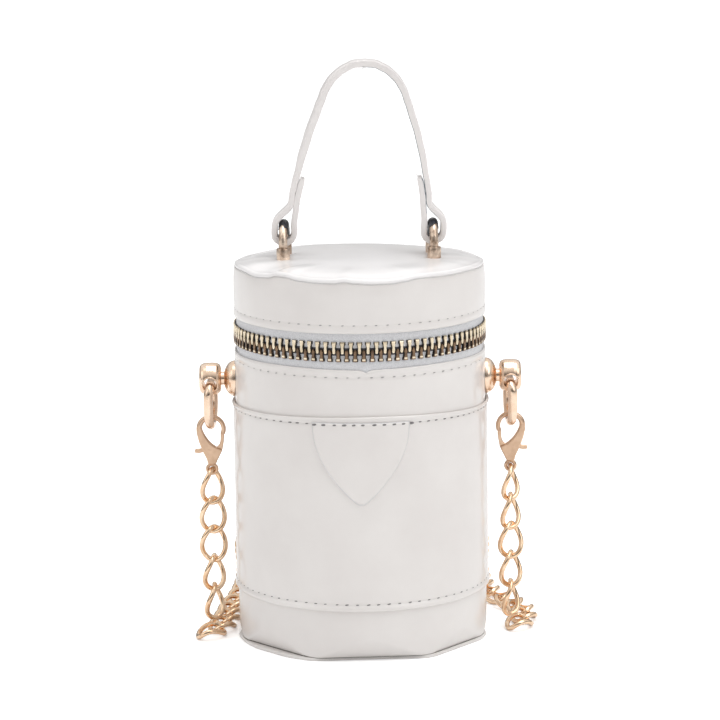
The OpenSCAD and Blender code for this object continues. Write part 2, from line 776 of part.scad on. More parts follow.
// The D-ring stands in the plane across the bag, with its bar through the head
module d_ring(x) {
    corner = 0.75 * ring_wire;
    leg_top = bar_z - corner;
    leg_low = bow_z + bow_r;
    color(gold)
        translate([x, 0, 0])
            rotate([90, 0, 90]) {
                translate([-(bow_r - corner), bar_z, 0])
                    rotate([0, 90, 0]) cylinder(d = ring_wire, h = ring_w - 2 * corner, $fn = wire_fn);
                translate([bow_r - corner, leg_top, 0]) wire_arc(corner, ring_wire, 0, 90);
                translate([corner - bow_r, leg_top, 0]) wire_arc(corner, ring_wire, 90, 180);
                for (s = [-1, 1])
                    translate([s * bow_r, leg_low, 0])
                        rotate([-90, 0, 0]) cylinder(d = ring_wire, h = leg_top - leg_low, $fn = wire_fn);
                translate([0, leg_low, 0]) wire_arc(bow_r, ring_wire, 180, 360);
            }
}

module d_ring_left() {
    d_ring(-hang_x);
}

module d_ring_right() {
    d_ring(hang_x);
}

// A claw on the left side: its hook opens towards the bag and its thumb lever points away
module claw_body() {
    bow = (claw_w - claw_wire) / 2;
    slot = gate_t + 4 * fit;
    color(gold)
        translate([-hang_x, 0, claw_z])
            rotate([90, 0, 0])
                difference() {
                    union() {
                        wire_arc(bow, claw_wire, -23, 178);
                        translate([0, 0, -claw_t / 2])
                            linear_extrude(claw_t) polygon(scaled(cheek_shares, claw_w, claw_w));
                        translate([0, -eye_drop, 0])
                            rotate([0, 0, -90]) wire_arc(eye_r, eye_wire, 0, 360);
                    }
                    translate([-claw_w, -1.10 * claw_w, -slot / 2])
                        cube([2 * claw_w, 0.76 * claw_w, slot]);
                    translate([pin_shares[0] * claw_w, pin_shares[1] * claw_w, -claw_t])
                        cylinder(d = pin_d + 2 * fit, h = 2 * claw_t, $fn = wire_fn);
                }
}

module claw_gate() {
    color(gold)
        translate([-hang_x, 0, claw_z])
            rotate([90, 0, 0])
                translate([0, 0, -gate_t / 2])
                    linear_extrude(gate_t)
                        difference() {
                            polygon(scaled(gate_shares, claw_w, claw_w));
                            translate([pin_shares[0] * claw_w, pin_shares[1] * claw_w])
                                circle(d = pin_d + 2 * fit, $fn = wire_fn);
                        }
}

module claw_pin() {
    color(gold)
        translate([-hang_x + pin_shares[0] * claw_w, claw_t / 2, claw_z + pin_shares[1] * claw_w])
            rotate([90, 0, 0]) cylinder(d = pin_d, h = claw_t, $fn = wire_fn);
}

module claw_body_left() {
    claw_body();
}

module claw_body_right() {
    mirror([1, 0, 0]) claw_body();
}

module claw_gate_left() {
    claw_gate();
}

module claw_gate_right() {
    mirror([1, 0, 0]) claw_gate();
}

module claw_pin_left() {
    claw_pin();
}

module claw_pin_right() {
    mirror([1, 0, 0]) claw_pin();
}

// Chain

// Middle line of a twisted oval link along Z, at angle t round the oval
function link_at(t) = [link_side(t) * cos(link_turn(t)), link_side(t) * sin(link_turn(t)),
    (link_l - link_wire) / 2 * cos(t)];
link_tick = 1;

module curb_link(rings, sides) {
    points = [for (i = [0 : rings - 1])
        let(t = 360 * i / rings, c = link_at(t),
            d = unit(link_at(t + link_tick) - link_at(t - link_tick)),
            out = unit(c - (c * d) * d), up = cross(d, out))
        for (k = [0 : sides - 1])
            let(b = 360 * (k + 0.5) / sides) c + link_wire / 2 * (cos(b) * out + sin(b) * up)];
    faces = [for (i = [0 : rings - 1]) for (k = [0 : sides - 1])
        let(j = (i + 1) % rings, m = (k + 1) % sides,
            p = i * sides + k, q = i * sides + m, r = j * sides + m, s = j * sides + k)
        for (f = [[p, q, r], [p, r, s]]) f];
    polyhedron(points, faces);
}

// A hanging link, counted from the claw
module hung_link(x, i, roll) {
    color(chain_gold)
        translate([x, 0, eye_z + link_wire / 2 - (i - 1) * link_pitch - link_l / 2])
            rotate([0, 0, roll]) curb_link(12, 6);
}

module link_left_1() {
    hung_link(-hang_x, 1, roll_left[0]);
}

module link_left_2() {
    hung_link(-hang_x, 2, roll_left[1]);
}

module link_left_3() {
    hung_link(-hang_x, 3, roll_left[2]);
}

module link_left_4() {
    hung_link(-hang_x, 4, roll_left[3]);
}

module link_left_5() {
    hung_link(-hang_x, 5, roll_left[4]);
}

module link_right_1() {
    hung_link(hang_x, 1, roll_right[0]);
}

module link_right_2() {
    hung_link(hang_x, 2, roll_right[1]);
}

module link_right_3() {
    hung_link(hang_x, 3, roll_right[2]);
}

module link_right_4() {
    hung_link(hang_x, 4, roll_right[3]);
}

module link_right_5() {
    hung_link(hang_x, 5, roll_right[4]);
}

route = smooth(scaled(route_shares, hang_x, hang_x), route_steps);
route_lengths = lengths(route);
route_l = route_lengths[len(route) - 1];
floor_links = round((route_l - link_l) / (link_pitch - 2 * gap)) + 1;
floor_pitch = (route_l - link_l) / (floor_links - 1);
// The point at a length along the route
function on_route(s, i = 0) = i + 2 >= len(route) || s <= route_lengths[i + 1]
    ? let(share = (s - route_lengths[i]) / (route_lengths[i + 1] - route_lengths[i]))
        route[i] + (route[i + 1] - route[i]) * share
    : on_route(s, i + 1);

// Lying links from one count to another
module floor_chain(first, last) {
    color(chain_gold)
        for (i = [first : last]) {
            s = link_l / 2 + i * floor_pitch;
            from = on_route(s - floor_pitch / 2);
            to = on_route(s + floor_pitch / 2);
            translate([(from[0] + to[0]) / 2, (from[1] + to[1]) / 2, lie_h / 2])
                rotate([0, 0, atan2(to[1] - from[1], to[0] - from[0])])
                    rotate([0, 90, 0])
                        rotate([0, 0, 90]) curb_link(10, 5);
        }
}

side_links = 8;

module chain_floor_left() {
    floor_chain(0, side_links - 1);
}

module chain_floor_back() {
    floor_chain(side_links, floor_links - side_links - 1);
}

module chain_floor_right() {
    floor_chain(floor_links - side_links, floor_links - 1);
}

base_panel();
base_board();
barrel_leather();
barrel_board();
barrel_lining();
wrap_band();
front_tab();
zip_tape_lower();
zip_teeth_lower();
zip_end_stretches();
zip_stops();
hinge_strip_lower();
hinge_strip_upper();
zip_tape_upper();
zip_teeth_upper();
zip_slider();
zip_pull_link();
zip_pull();
lid_band();
lid_top();
lid_pad();
lid_board();
lid_lining();
staple_left();
staple_right();
staple_sleeves();
staple_nuts();
handle_strap();
side_post_left();
side_post_right();
side_nuts();
d_ring_left();
d_ring_right();
claw_body_left();
claw_body_right();
claw_gate_left();
claw_gate_right();
claw_pin_left();
claw_pin_right();
link_left_1();
link_left_2();
link_left_3();
link_left_4();
link_left_5();
link_right_1();
link_right_2();
link_right_3();
link_right_4();
link_right_5();
chain_floor_left();
chain_floor_back();
chain_floor_right();
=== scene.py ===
import math
import random

import bmesh
import bpy
from mathutils import Matrix, Vector


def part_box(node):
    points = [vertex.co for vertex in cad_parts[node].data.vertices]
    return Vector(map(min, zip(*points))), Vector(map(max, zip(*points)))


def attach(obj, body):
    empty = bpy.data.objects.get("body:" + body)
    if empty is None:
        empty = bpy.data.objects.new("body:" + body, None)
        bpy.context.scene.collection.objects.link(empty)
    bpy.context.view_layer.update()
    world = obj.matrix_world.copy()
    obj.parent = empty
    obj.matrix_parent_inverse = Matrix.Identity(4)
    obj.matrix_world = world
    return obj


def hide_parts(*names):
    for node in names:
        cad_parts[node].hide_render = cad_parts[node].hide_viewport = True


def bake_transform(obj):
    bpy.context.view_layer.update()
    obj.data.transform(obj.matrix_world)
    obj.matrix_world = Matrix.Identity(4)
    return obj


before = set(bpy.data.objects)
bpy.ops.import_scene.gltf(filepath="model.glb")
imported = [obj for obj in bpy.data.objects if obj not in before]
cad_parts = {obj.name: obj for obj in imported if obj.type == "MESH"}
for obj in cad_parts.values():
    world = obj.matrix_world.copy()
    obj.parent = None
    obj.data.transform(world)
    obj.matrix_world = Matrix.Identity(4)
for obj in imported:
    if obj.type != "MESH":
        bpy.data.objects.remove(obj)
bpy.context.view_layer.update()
MM = 0.001
SIDES = (("left", -1), ("right", 1))
X_WAY, Y_WAY, Z_WAY = Vector((1, 0, 0)), Vector((0, 1, 0)), Vector((0, 0, 1))
random.seed(7)


def cosd(angle):
    return math.cos(math.radians(angle))


def sind(angle):
    return math.sin(math.radians(angle))


def turned(angle, axis):
    return Matrix.Rotation(math.radians(angle), 4, axis)


def put(name, data):
    """A new object in the scene."""
    thing = bpy.data.objects.new(name, data)
    bpy.context.scene.collection.objects.link(thing)
    return thing


# Camera, at the photograph's angle
CAMERA_BACK = 1280
CAMERA_UP = 355
CAMERA_PITCH = 10.84
CAMERA_ROLL = -0.7
CAMERA_LENS = 165


def make_camera():
    data = bpy.data.cameras.new("camera")
    data.lens = CAMERA_LENS
    data.sensor_width = 36
    data.clip_start = 0.05
    camera = put("camera", data)
    place = Matrix.Translation(Vector((0, -CAMERA_BACK, CAMERA_UP)) * MM)
    camera.matrix_world = place @ turned(90 - CAMERA_PITCH, "X") @ turned(CAMERA_ROLL, "Z")
    bpy.context.scene.camera = camera


make_camera()


# Sizes taken from the frame
def box_mm(node):
    low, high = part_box(node)
    return [c / MM for c in low], [c / MM for c in high]


def middle_of(node, axis):
    low, high = box_mm(node)
    return (low[axis] + high[axis]) / 2


BARREL_R, _, BARREL_H = box_mm("barrel_leather")[1]
BASE_TOP = box_mm("base_panel")[1][2]
WRAP_LOW, WRAP_HIGH = (corner[2] for corner in box_mm("wrap_band"))
LID_LOW = box_mm("lid_band")[0][2]
LID_TOP = box_mm("lid_top")[1][2]
TAPE_R = box_mm("zip_tape_lower")[1][0]
ZIP_Z = (BARREL_H + LID_LOW) / 2
HANG_X = middle_of("d_ring_right", 0)
POST_Z = middle_of("side_post_right", 2)
STAPLE_X = middle_of("staple_right", 0)

# Sizes that the frame's boxes don't give; the base's corners go by the angle from the front
LEATHER_T = 0.8
LINING_INSET = 3.2
SET_IN = 0.05
FACET_RISE = 9
BASE_LIP = 0.6
CORNER_ANGLES = [-71, -23.5, 30, 72, 122, 176, 235]
BASE_BOWS = [0.85, 0, 0.35, 0.4, 0.5, 0.4, 0.6]
CROWN_H = 3.3
LID_EDGE = LID_TOP - CROWN_H
STAPLE_HALF = 7.0
STAPLE_WIRE = 3.3
ARCH_Z = box_mm("staple_right")[1][2] - STAPLE_HALF - STAPLE_WIRE / 2


# Materials, with relief in metres
def linear(rgb):
    """A colour given as 0 to 255 values, as the shader wants it."""
    return [(c / 255 / 12.92 if c < 11 else ((c / 255 + 0.055) / 1.055) ** 2.4) for c in rgb] + [1]


def fill(node, inputs):
    """Sets a node's single values, and links what comes from other nodes."""
    for key, value in inputs.items():
        if isinstance(value, bpy.types.NodeSocket):
            node.id_data.links.new(value, node.inputs[key])
        else:
            node.inputs[key].default_value = value


def add_node(tree, kind, inputs=None, **settings):
    node = tree.nodes.new("ShaderNode" + kind)
    for key, value in settings.items():
        setattr(node, key, value)
    fill(node, inputs or {})
    return node


def set_stops(ramp, stops):
    """Puts colours along a ramp, which has two stops to begin with."""
    elements = ramp.color_ramp.elements
    for i, (place, colour) in enumerate(stops):
        element = elements[i] if i < 2 else elements.new(place)
        element.position = place
        element.color = colour


class Shader:
    """A Principled material with room for a few procedural layers."""

    def __init__(self, name, roughness, specular=0.5, more=None):
        self.material = bpy.data.materials.new(name)
        self.material.use_nodes = True
        self.tree = self.material.node_tree
        self.shader = self.tree.nodes["Principled BSDF"]
        fill(self.shader, {"Roughness": roughness, "Specular IOR Level": specular, **(more or {})})
        self.place = self.add("TexCoord", "Object")
        self.normal = None

    def add(self, kind, output, inputs=None, **settings):
        return add_node(self.tree, kind, inputs, **settings).outputs[output]

    def noise(self, scale, detail=3.0, roughness=0.55, place=None):
        return self.add("TexNoise", "Fac", {
            "Scale": scale, "Detail": detail, "Roughness": roughness, "Vector": place or self.place})

    def voronoi(self, scale):
        return self.add("TexVoronoi", "Distance", {"Scale": scale, "Vector": self.place})

    def stretched(self, x, y, z):
        return self.add("Mapping", "Vector", {"Scale": (x, y, z), "Vector": self.place})

    def sums(self, operation, a, b=None):
        return self.add("Math", "Value", {0: a} if b is None else {0: a, 1: b}, operation=operation)

    def around(self):
        """Metres round the barrel and metres up."""
        split = add_node(self.tree, "SeparateXYZ", {"Vector": self.place}).outputs
        turn = self.sums("ARCTAN2", split["Y"], split["X"])
        return self.sums("MULTIPLY", turn, TAPE_R * MM), split["Z"]

    def ramp(self, factor, low, high):
        ramp = add_node(self.tree, "ValToRGB", {"Fac": factor})
        set_stops(ramp, ((0.3, linear(low)), (0.7, linear(high))))
        fill(self.shader, {"Base Color": ramp.outputs["Color"]})

    def rough(self, factor, low, high):
        level = self.add("MapRange", "Result", {"To Min": low, "To Max": high, "Value": factor})
        fill(self.shader, {"Roughness": level})

    def bump(self, height, distance, coat=False):
        """Adds relief over the relief before it; coat gives it to the coat as well."""
        inputs = {"Distance": distance, "Height": height}
        if self.normal is not None:
            inputs["Normal"] = self.normal
        self.normal = self.add("Bump", "Normal", inputs)
        for name in ("Normal", "Coat Normal") if coat else ("Normal",):
            fill(self.shader, {name: self.normal})


def patent_leather(name, dark, light, coat=0.45):
    s = Shader(name, 0.3, 0.35, {"Coat Weight": coat, "Coat Roughness": 0.06})
    s.ramp(s.noise(30, 4), dark, light)
    s.rough(s.noise(90, 2), 0.24, 0.38)
    s.bump(s.noise(45, 2, 0.4), 0.00008, coat=True)
    s.bump(s.noise(2200, 2), 0.000008)
    return s.material


def metal(name, dark, light, rough_low, rough_high, dent=0.00002):
    s = Shader(name, rough_low, more={"Metallic": 1.0})
    s.ramp(s.noise(260, 5), dark, light)
    s.rough(s.noise(700, 3), rough_low, rough_high)
    s.bump(s.noise(420, 3), dent)
    return s.material


def woven_tape(name, dark, light, thread=0.00045, twill=0.0024):
    """Slanting ribs of thread; thread and twill are in metres."""
    s = Shader(name, 0.85, 0.25, {"Sheen Weight": 0.15})
    along, up = s.around()
    slant = s.sums("ABSOLUTE", s.sums("SINE", s.sums("MULTIPLY", up, math.pi / twill)))
    rib = s.sums("MULTIPLY", s.sums("ADD", along, s.sums("MULTIPLY", slant, thread)), 2 * math.pi / thread)
    weft = s.sums("SINE", s.sums("MULTIPLY", up, 2 * math.pi / (1.3 * thread)))
    weave = s.sums("MULTIPLY", s.sums("SINE", rib), s.sums("ADD", s.sums("MULTIPLY", weft, 0.4), 0.6))
    s.ramp(s.noise(2600, 5, 0.7), dark, light)
    s.bump(weave, 0.00004)
    s.bump(s.noise(3000, 2), 0.00002)
    return s.material


def woven_cloth(name, dark, light, thread=0.0006):
    s = Shader(name, 0.9, 0.2, {"Sheen Weight": 0.25})
    warp = s.noise(1 / thread, 2, place=s.stretched(1, 1, 0.12))
    weft = s.noise(1 / thread, 2, place=s.stretched(0.12, 0.12, 1))
    s.ramp(s.noise(160, 5), dark, light)
    s.bump(s.sums("ADD", warp, weft), 0.00012)
    s.bump(s.noise(80, 2), 0.0002)
    return s.material


def card_material():
    s = Shader("card", 0.9, 0.2)
    s.ramp(s.noise(900, 6, 0.7, s.stretched(1, 1, 0.2)), (150, 132, 104), (190, 172, 142))
    s.bump(s.noise(1600, 4), 0.00005)
    return s.material


def foam_material():
    s = Shader("foam", 0.95, 0.15)
    s.ramp(s.voronoi(900), (200, 196, 184), (228, 224, 214))
    s.bump(s.voronoi(900), 0.0002)
    return s.material


def sleeve_material():
    s = Shader("black_sleeve", 0.3, more={"Coat Weight": 0.4, "Coat Roughness": 0.1})
    s.ramp(s.noise(600, 4), (14, 15, 20), (52, 55, 66))
    s.rough(s.noise(400, 3), 0.2, 0.5)
    s.bump(s.noise(300, 3), 0.00015)
    return s.material


def thread_material(name, dark, light):
    s = Shader(name, 0.75, 0.3)
    s.ramp(s.noise(1500, 3), dark, light)
    s.bump(s.noise(5000, 2), 0.00003)
    return s.material


LEATHER = patent_leather("patent_leather", (223, 218, 215), (231, 227, 224))
# The lid top's leather is a lighter copy of the body's: a painted highlight for the light on the top.
LIT_LID_LEATHER = patent_leather("lid_leather_painted_highlight", (236, 233, 232), (243, 241, 241))
STRAP_LEATHER = patent_leather("strap_leather", (227, 222, 220), (235, 231, 229), 0.1)
# Painted shade: a dark grey for the gap between the strap's plies on its shaded right side, and a pale grey
# for lighter shade on the strap's other edges, along the tab's edge and under the lid's rim.
PLY_GAP_SHADE = thread_material("ply_gap_painted_shade", (128, 136, 142), (160, 166, 170))
PALE_SHADE = thread_material("pale_painted_shade", (206, 204, 204), (220, 218, 217))
# Painted shadow for the seam under the barrel's wall.
SEAM_SHADE = thread_material("painted_seam_shade", (84, 82, 78), (140, 136, 130))
TAPE = woven_tape("zip_tape", (200, 200, 203), (238, 238, 240))
TAPE_SHADE = woven_tape("zip_tape_painted_shade", (66, 64, 70), (104, 101, 106))
LINING = woven_cloth("lining_cloth", (176, 170, 168), (196, 191, 189))
CARD = card_material()
FOAM = foam_material()
SLEEVE = sleeve_material()
# Stitch threads are coloured grey: painted shade of white thread sunk in its holes, darker on the wrap.
SHADED_STITCH = thread_material("stitch_painted_shade", (104, 102, 102), (146, 143, 142))
LIGHT_SHADED_STITCH = thread_material("pale_stitch_painted_shade", (146, 144, 144), (184, 181, 180))
LOOSE_THREAD = thread_material("loose_thread", (200, 197, 195), (222, 220, 218))
FITTING = metal("rose_gold", (236, 204, 176), (250, 226, 204), 0.16, 0.28)
BEATEN = metal("beaten_gold", (150, 122, 100), (252, 232, 212), 0.2, 0.4, 0.0003)
CLAW = metal("satin_rose_gold", (206, 172, 144), (228, 196, 168), 0.24, 0.36)
CHAIN = metal("warm_gold", (228, 188, 150), (252, 226, 196), 0.04, 0.12, 0.000006)
TOOTH_FACE = metal("tooth_face", (208, 192, 164), (242, 228, 204), 0.16, 0.3)
# A darker copy of the tooth face for the lower row: painted shade.
SHADED_TOOTH_FACE = metal("tooth_face_painted_shade", (96, 80, 68), (156, 128, 102), 0.2, 0.36)
TOOTH_SIDE_OXIDE_AND_SHADE = metal("tooth_side_oxide_and_shade", (42, 41, 44), (76, 73, 74), 0.35, 0.5)


# Mesh building
def add_piece(name, form, materials, body, replaces=(), picks=None, sharp=40):
    """A smooth piece from points and faces; picks gives each face its material's number, and edges
    over sharp degrees stay sharp."""
    verts, faces = form
    mesh = bpy.data.meshes.new(name)
    mesh.from_pydata([[c * MM for c in v] for v in verts], [], faces)
    for material in materials:
        mesh.materials.append(material)
    if picks:
        mesh.polygons.foreach_set("material_index", picks)
    mesh.polygons.foreach_set("use_smooth", [True] * len(mesh.polygons))
    mesh.set_sharp_from_angle(angle=math.radians(sharp))
    mesh.update()
    piece = put(name, mesh)
    if body:
        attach(piece, body)
    if replaces:
        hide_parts(*replaces)
    return piece


def tidy_points(piece):
    """Merges points that lie on each other and turns all faces outwards."""
    mesh = bmesh.new()
    mesh.from_mesh(piece.data)
    bmesh.ops.remove_doubles(mesh, verts=mesh.verts, dist=1e-6)
    bmesh.ops.recalc_face_normals(mesh, faces=mesh.faces)
    mesh.to_mesh(piece.data)
    mesh.free()
    return piece


def skin(rows, round_=True, closed=False, caps=False):
    """Points and faces over rows of equal length; round_ joins the ends of each row, closed the last row
    to the first, and caps closes the two ends across the rows."""
    count, width = len(rows), len(rows[0])
    verts = [p for row in rows for p in row]
    faces = []
    for j in range(count if closed else count - 1):
        k = (j + 1) % count
        for i in range(width if round_ else width - 1):
            m = (i + 1) % width
            faces.append((j * width + i, j * width + m, k * width + m, k * width + i))
    if caps:
        faces.append(tuple(j * width for j in range(count)))
        faces.append(tuple(j * width + width - 1 for j in reversed(range(count))))
    return verts, faces


def capped(rows):
    """A skin over rows that go round, with its first and last row filled."""
    verts, faces = skin(rows)
    width = len(rows[0])
    last = len(verts) - width
    return verts, faces + [tuple(range(width)), tuple(last + k for k in reversed(range(width)))]


def joined(parts):
    """Several lists of points and faces as one."""
    verts, faces = [], []
    for more_verts, more_faces in parts:
        start = len(verts)
        verts += more_verts
        faces += [tuple(start + i for i in face) for face in more_faces]
    return verts, faces


def placed(form, place):
    verts, faces = form
    return [tuple(place @ Vector(v)) for v in verts], faces


def turns(count):
    """Angles of a full circle, in radians."""
    return [2 * math.pi * k / count for k in range(count)]


def polar(r, angle, z):
    return (r * cosd(angle), r * sind(angle), z)


def tube(path, radius, sides, closed=False, up=Z_WAY):
    """A round wire along points, with its ends closed."""
    points = [Vector(p) for p in path]
    count = len(points)
    rows = []
    for i, p in enumerate(points):
        before = points[(i - 1) % count] if closed or i else p
        after = points[(i + 1) % count] if closed or i + 1 < count else p
        along = (after - before).normalized()
        side = along.cross(up)
        if side.length < 0.05:
            side = along.cross(X_WAY)
        side.normalize()
        other = side.cross(along)
        rows.append([tuple(p + radius * (math.cos(a) * side + math.sin(a) * other)) for a in turns(sides)])
    return skin(rows, closed=True) if closed else capped(rows)


def pill(centre, along, up, length, width, height):
    """A small rounded thread, lying along one way."""
    along, up = Vector(along).normalized(), Vector(up).normalized()
    side = along.cross(up)
    rows = []
    for j in range(7):
        t = math.pi * j / 6
        x = -math.cos(t) * length / 2
        swell = max(math.sin(t), 0.02) ** 0.6
        rows.append([
            tuple(Vector(centre) + x * along
                  + swell * (math.cos(a) * width / 2 * side + math.sin(a) * height / 2 * up))
            for a in turns(8)
        ])
    return capped(rows)


def step(x, low, high):
    """Rises smoothly from 0 at low to 1 at high."""
    t = min(1, max(0, (x - low) / (high - low)))
    return t * t * (3 - 2 * t)


def bell(x, middle, width):
    return math.exp(-(((x - middle) / width) ** 2))


def smooth(points, steps):
    """A smooth line through the points."""
    last = len(points) - 1
    line = []
    for i in range(last):
        a, b = points[max(i - 1, 0)], points[i]
        c, d = points[i + 1], points[min(i + 2, last)]
        for k in range(steps):
            u = k / steps
            line.append(tuple(
                0.5 * (2 * q + (r - p) * u + (2 * p - 5 * q + 4 * r - s) * u * u
                       + (3 * q - p - 3 * r + s) * u ** 3)
                for p, q, r, s in zip(a, b, c, d)
            ))
    line.append(points[last])
    return line


def headings(line, closed=False):
    """The way along a flat line at each of its points."""
    count = len(line)
    ways = []
    for i in range(count):
        before = line[i - 1] if closed or i else line[i]
        after = line[(i + 1) % count] if closed or i + 1 < count else line[i]
        ways.append(Vector((after[0] - before[0], after[1] - before[1])).normalized())
    return ways


def off_front(angle):
    """Degrees from the front, between -180 and 180, with the right side positive."""
    return (angle + 90 + 180) % 360 - 180


# Barrel; every row round it has its points at these angles
NICK_AT = 2.6
RING = sorted({1.5 * i for i in range(240)} | {(a - 90) % 360 for a in CORNER_ANGLES}
              | {270 + NICK_AT + 0.5 * i for i in range(-6, 7)})
FACETS = list(zip(CORNER_ANGLES, CORNER_ANGLES[1:] + [CORNER_ANGLES[0] + 360]))
WALL_LOW = BASE_TOP + 0.14
BARREL_STITCH = BARREL_H - 3.1


def facet_at(angle):
    """The base facet at an angle: its number, and in radians half its width and how far its middle is."""
    front = off_front(angle)
    for i, (first, last) in enumerate(FACETS):
        half = (last - first) / 2
        away = (front - (first + last) / 2 + 180) % 360 - 180
        if abs(away) <= half + 0.01:
            return i, math.radians(half), math.radians(away)


def wall_r(angle, z, inset=0.0):
    """Radius of the barrel's form: round above, drawn in a curve to flat sides at the base."""
    half, away = facet_at(angle)[1:]
    pull = max(0, 1 - z / FACET_RISE) ** 1.6
    flat = BARREL_R * (1 - (1 - math.cos(half)) * pull) - inset
    return min(BARREL_R - inset, flat / math.cos(away))


def base_r(angle):
    """Radius of the base panel, whose sides bow out past the wall's."""
    number, half, away = facet_at(angle)
    bow = BASE_BOWS[number]
    return BARREL_R * min(1, (bow + (1 - bow) * math.cos(half)) / math.cos(away)) + BASE_LIP


def ripple(angle, z, size):
    """The leather's uneven surface, up to size high."""
    a = math.radians(angle)
    return size * (
        0.5 * math.sin(3 * a + z / 19 + 0.7) + 0.3 * math.sin(7 * a - z / 11) + 0.2 * math.sin(13 * a + z / 7)
    )


def edge_dip(angle):
    """Where the barrel's edge waves, with a nick at the front."""
    return 0.2 * sind(5 * angle) - 1.1 * max(0, 1 - abs(off_front(angle) - NICK_AT) / 3) ** 1.3


def barrel_piece():
    edge = 0.4
    heights = [WALL_LOW + 0.7 * i for i in range(15)] + [14, 17, 20, 24] + [32 + 9 * i for i in range(8)]
    heights += [100, 103, 106, 109, 111, 111.7, 112.1, 112.4, 112.7, 113.1, 113.6, 114.3, 114.8]
    rows = [[polar(wall_r(a, WALL_LOW) - 0.35, a, WALL_LOW - 0.05) for a in RING]]
    for z in heights:
        groove = 0.14 * bell(z, BARREL_STITCH, 0.5)
        swell = 0.14 * bell(z, BARREL_STITCH + 1.6, 0.9)
        rows.append([
            polar(wall_r(a, z) - groove + swell + ripple(a, z, 0.1 if z > 90 else 0.03) - SET_IN, a,
                  z + edge_dip(a) * step(z, 112.6, 115.2)) for a in RING
        ])
    for k in range(1, 7):
        t = math.pi * k / 6
        lift = BARREL_H - edge
        rows.append([
            polar(BARREL_R - edge + edge * math.cos(t) + ripple(a, BARREL_H, 0.1) - SET_IN, a,
                  lift + edge * math.sin(t) + edge_dip(a)) for a in RING
        ])
    for z in (BARREL_H - 3, BARREL_H - 30, 24, 14, 8, WALL_LOW):
        rows.append([polar(wall_r(a, z, LEATHER_T), a, z) for a in RING])
    add_piece("barrel_skin", skin(rows, closed=True), [LEATHER], "root", ["barrel_leather"],
              sharp=60)


def base_piece():
    soft = 0.4
    outline = [(-3.0, 0.0), (-soft, 0.0), (-0.2 * soft, 0.18 * soft), (0, soft), (0, BASE_TOP - soft),
               (-0.2 * soft, BASE_TOP - 0.18 * soft), (-soft, BASE_TOP), (-5.5, BASE_TOP)]
    rows = [[(0.0, 0.0, 0.0)] * len(RING)]
    rows += [[polar(base_r(a) + out, a, z) for a in RING] for out, z in outline]
    rows.append([(0.0, 0.0, BASE_TOP)] * len(RING))
    tidy_points(add_piece("base_skin", skin(rows), [LEATHER], "root", ["base_panel"], sharp=50))


def shade_ring(name, radius, low, height, body, material):
    """A thin ring of painted shade where two leather edges meet."""
    rows = []
    for out, share in ((-0.5, 0), (0.0, 0.0), (0.04, 0.5), (0.0, 1.0), (-0.5, 1)):
        rows.append([polar(radius(a) + out, a, low(a) + share * height(a)) for a in RING])
    add_piece(name, skin(rows, closed=True), [material], body, sharp=80)


# The seam's painted shadow is taller along the left facet.
def base_seam_shade_height(angle):
    return 0.13 + 0.34 * step(off_front(angle), -74, -66) * step(-off_front(angle), 20, 30)


# Wrap with its rolled edges, given by height and how far they stand out
WRAP_R = BARREL_R + 0.75
WRAP_SEAM = 2.8
LOW_ROLL = ((0.0, -0.45), (0.0, -0.1), (0.15, 0.2), (0.5, 0.42), (1.0, 0.52), (1.5, 0.46), (1.9, 0.3),
            (2.25, 0.1), (2.5, -0.05), (2.8, -0.12), (3.1, -0.07), (3.5, -0.01))
HIGH_ROLL = ((-0.7, -0.01), (-0.3, -0.07), (0, -0.12), (0.3, -0.04), (0.55, 0.12), (0.9, 0.34), (1.3, 0.5),
             (1.8, 0.56), (2.3, 0.46), (2.65, 0.22), (2.8, -0.1), (2.75, -0.45))


def side_share(angle):
    """0 at the front and back, 1 at the sides."""
    return sind(off_front(angle)) ** 2


def wrap_top(angle):
    return WRAP_HIGH - 2.4 * side_share(angle) + 0.15 * sind(4 * angle + 20)


def wrap_upper_stitch(angle):
    return WRAP_HIGH - WRAP_SEAM - 1.3 * side_share(angle)


def wrap_lower_stitch(angle):
    return WRAP_LOW + WRAP_SEAM


def wrap_piece():
    def row(out, height):
        return [polar(WRAP_R + out + ripple(a, height(a), 0.05), a, height(a)) for a in RING]

    def between(a, share):
        low, high = wrap_lower_stitch(a) + 1.2, wrap_upper_stitch(a) - 1.2
        return low + share * (high - low)

    def past_seam(a, lift):
        return wrap_upper_stitch(a) + lift * (wrap_top(a) - wrap_upper_stitch(a)) / WRAP_SEAM

    under = BARREL_R + 0.05
    rows = [[polar(under, a, WRAP_LOW + 0.35) for a in RING]]
    rows += [row(out, lambda a: WRAP_LOW + lift) for lift, out in LOW_ROLL]
    rows += [row(0, lambda a: between(a, i / 18)) for i in range(19)]
    rows += [row(out, lambda a: past_seam(a, lift)) for lift, out in HIGH_ROLL]
    rows.append([polar(under, a, wrap_top(a) - 0.4) for a in RING])
    add_piece("wrap_skin", skin(rows, closed=True), [LEATHER], "root", ["wrap_band"], sharp=70)


# Tab, padded and drawn down to the wrap all round: its outline's right side in shares of half its width
# and of its height, then each row's share of the outline and how far it stands out
TAB_SHARES = [(1, 0), (0.99, 0.12), (0.955, 0.25), (0.88, 0.38), (0.78, 0.5), (0.66, 0.61), (0.53, 0.71),
              (0.39, 0.81), (0.24, 0.90), (0.12, 0.96), (0.05, 0.99)]
TAB_RISE = ((1.05, -0.12), (1.03, -0.07), (1.012, 0.06), (1.0, 0.32), (0.988, 0.68), (0.972, 0.98),
            (0.945, 1.16), (0.9, 1.24), (0.8, 1.26), (0.6, 1.26), (0.3, 1.26), (0.0, 1.26))
TAB_MIDDLE = 0.36


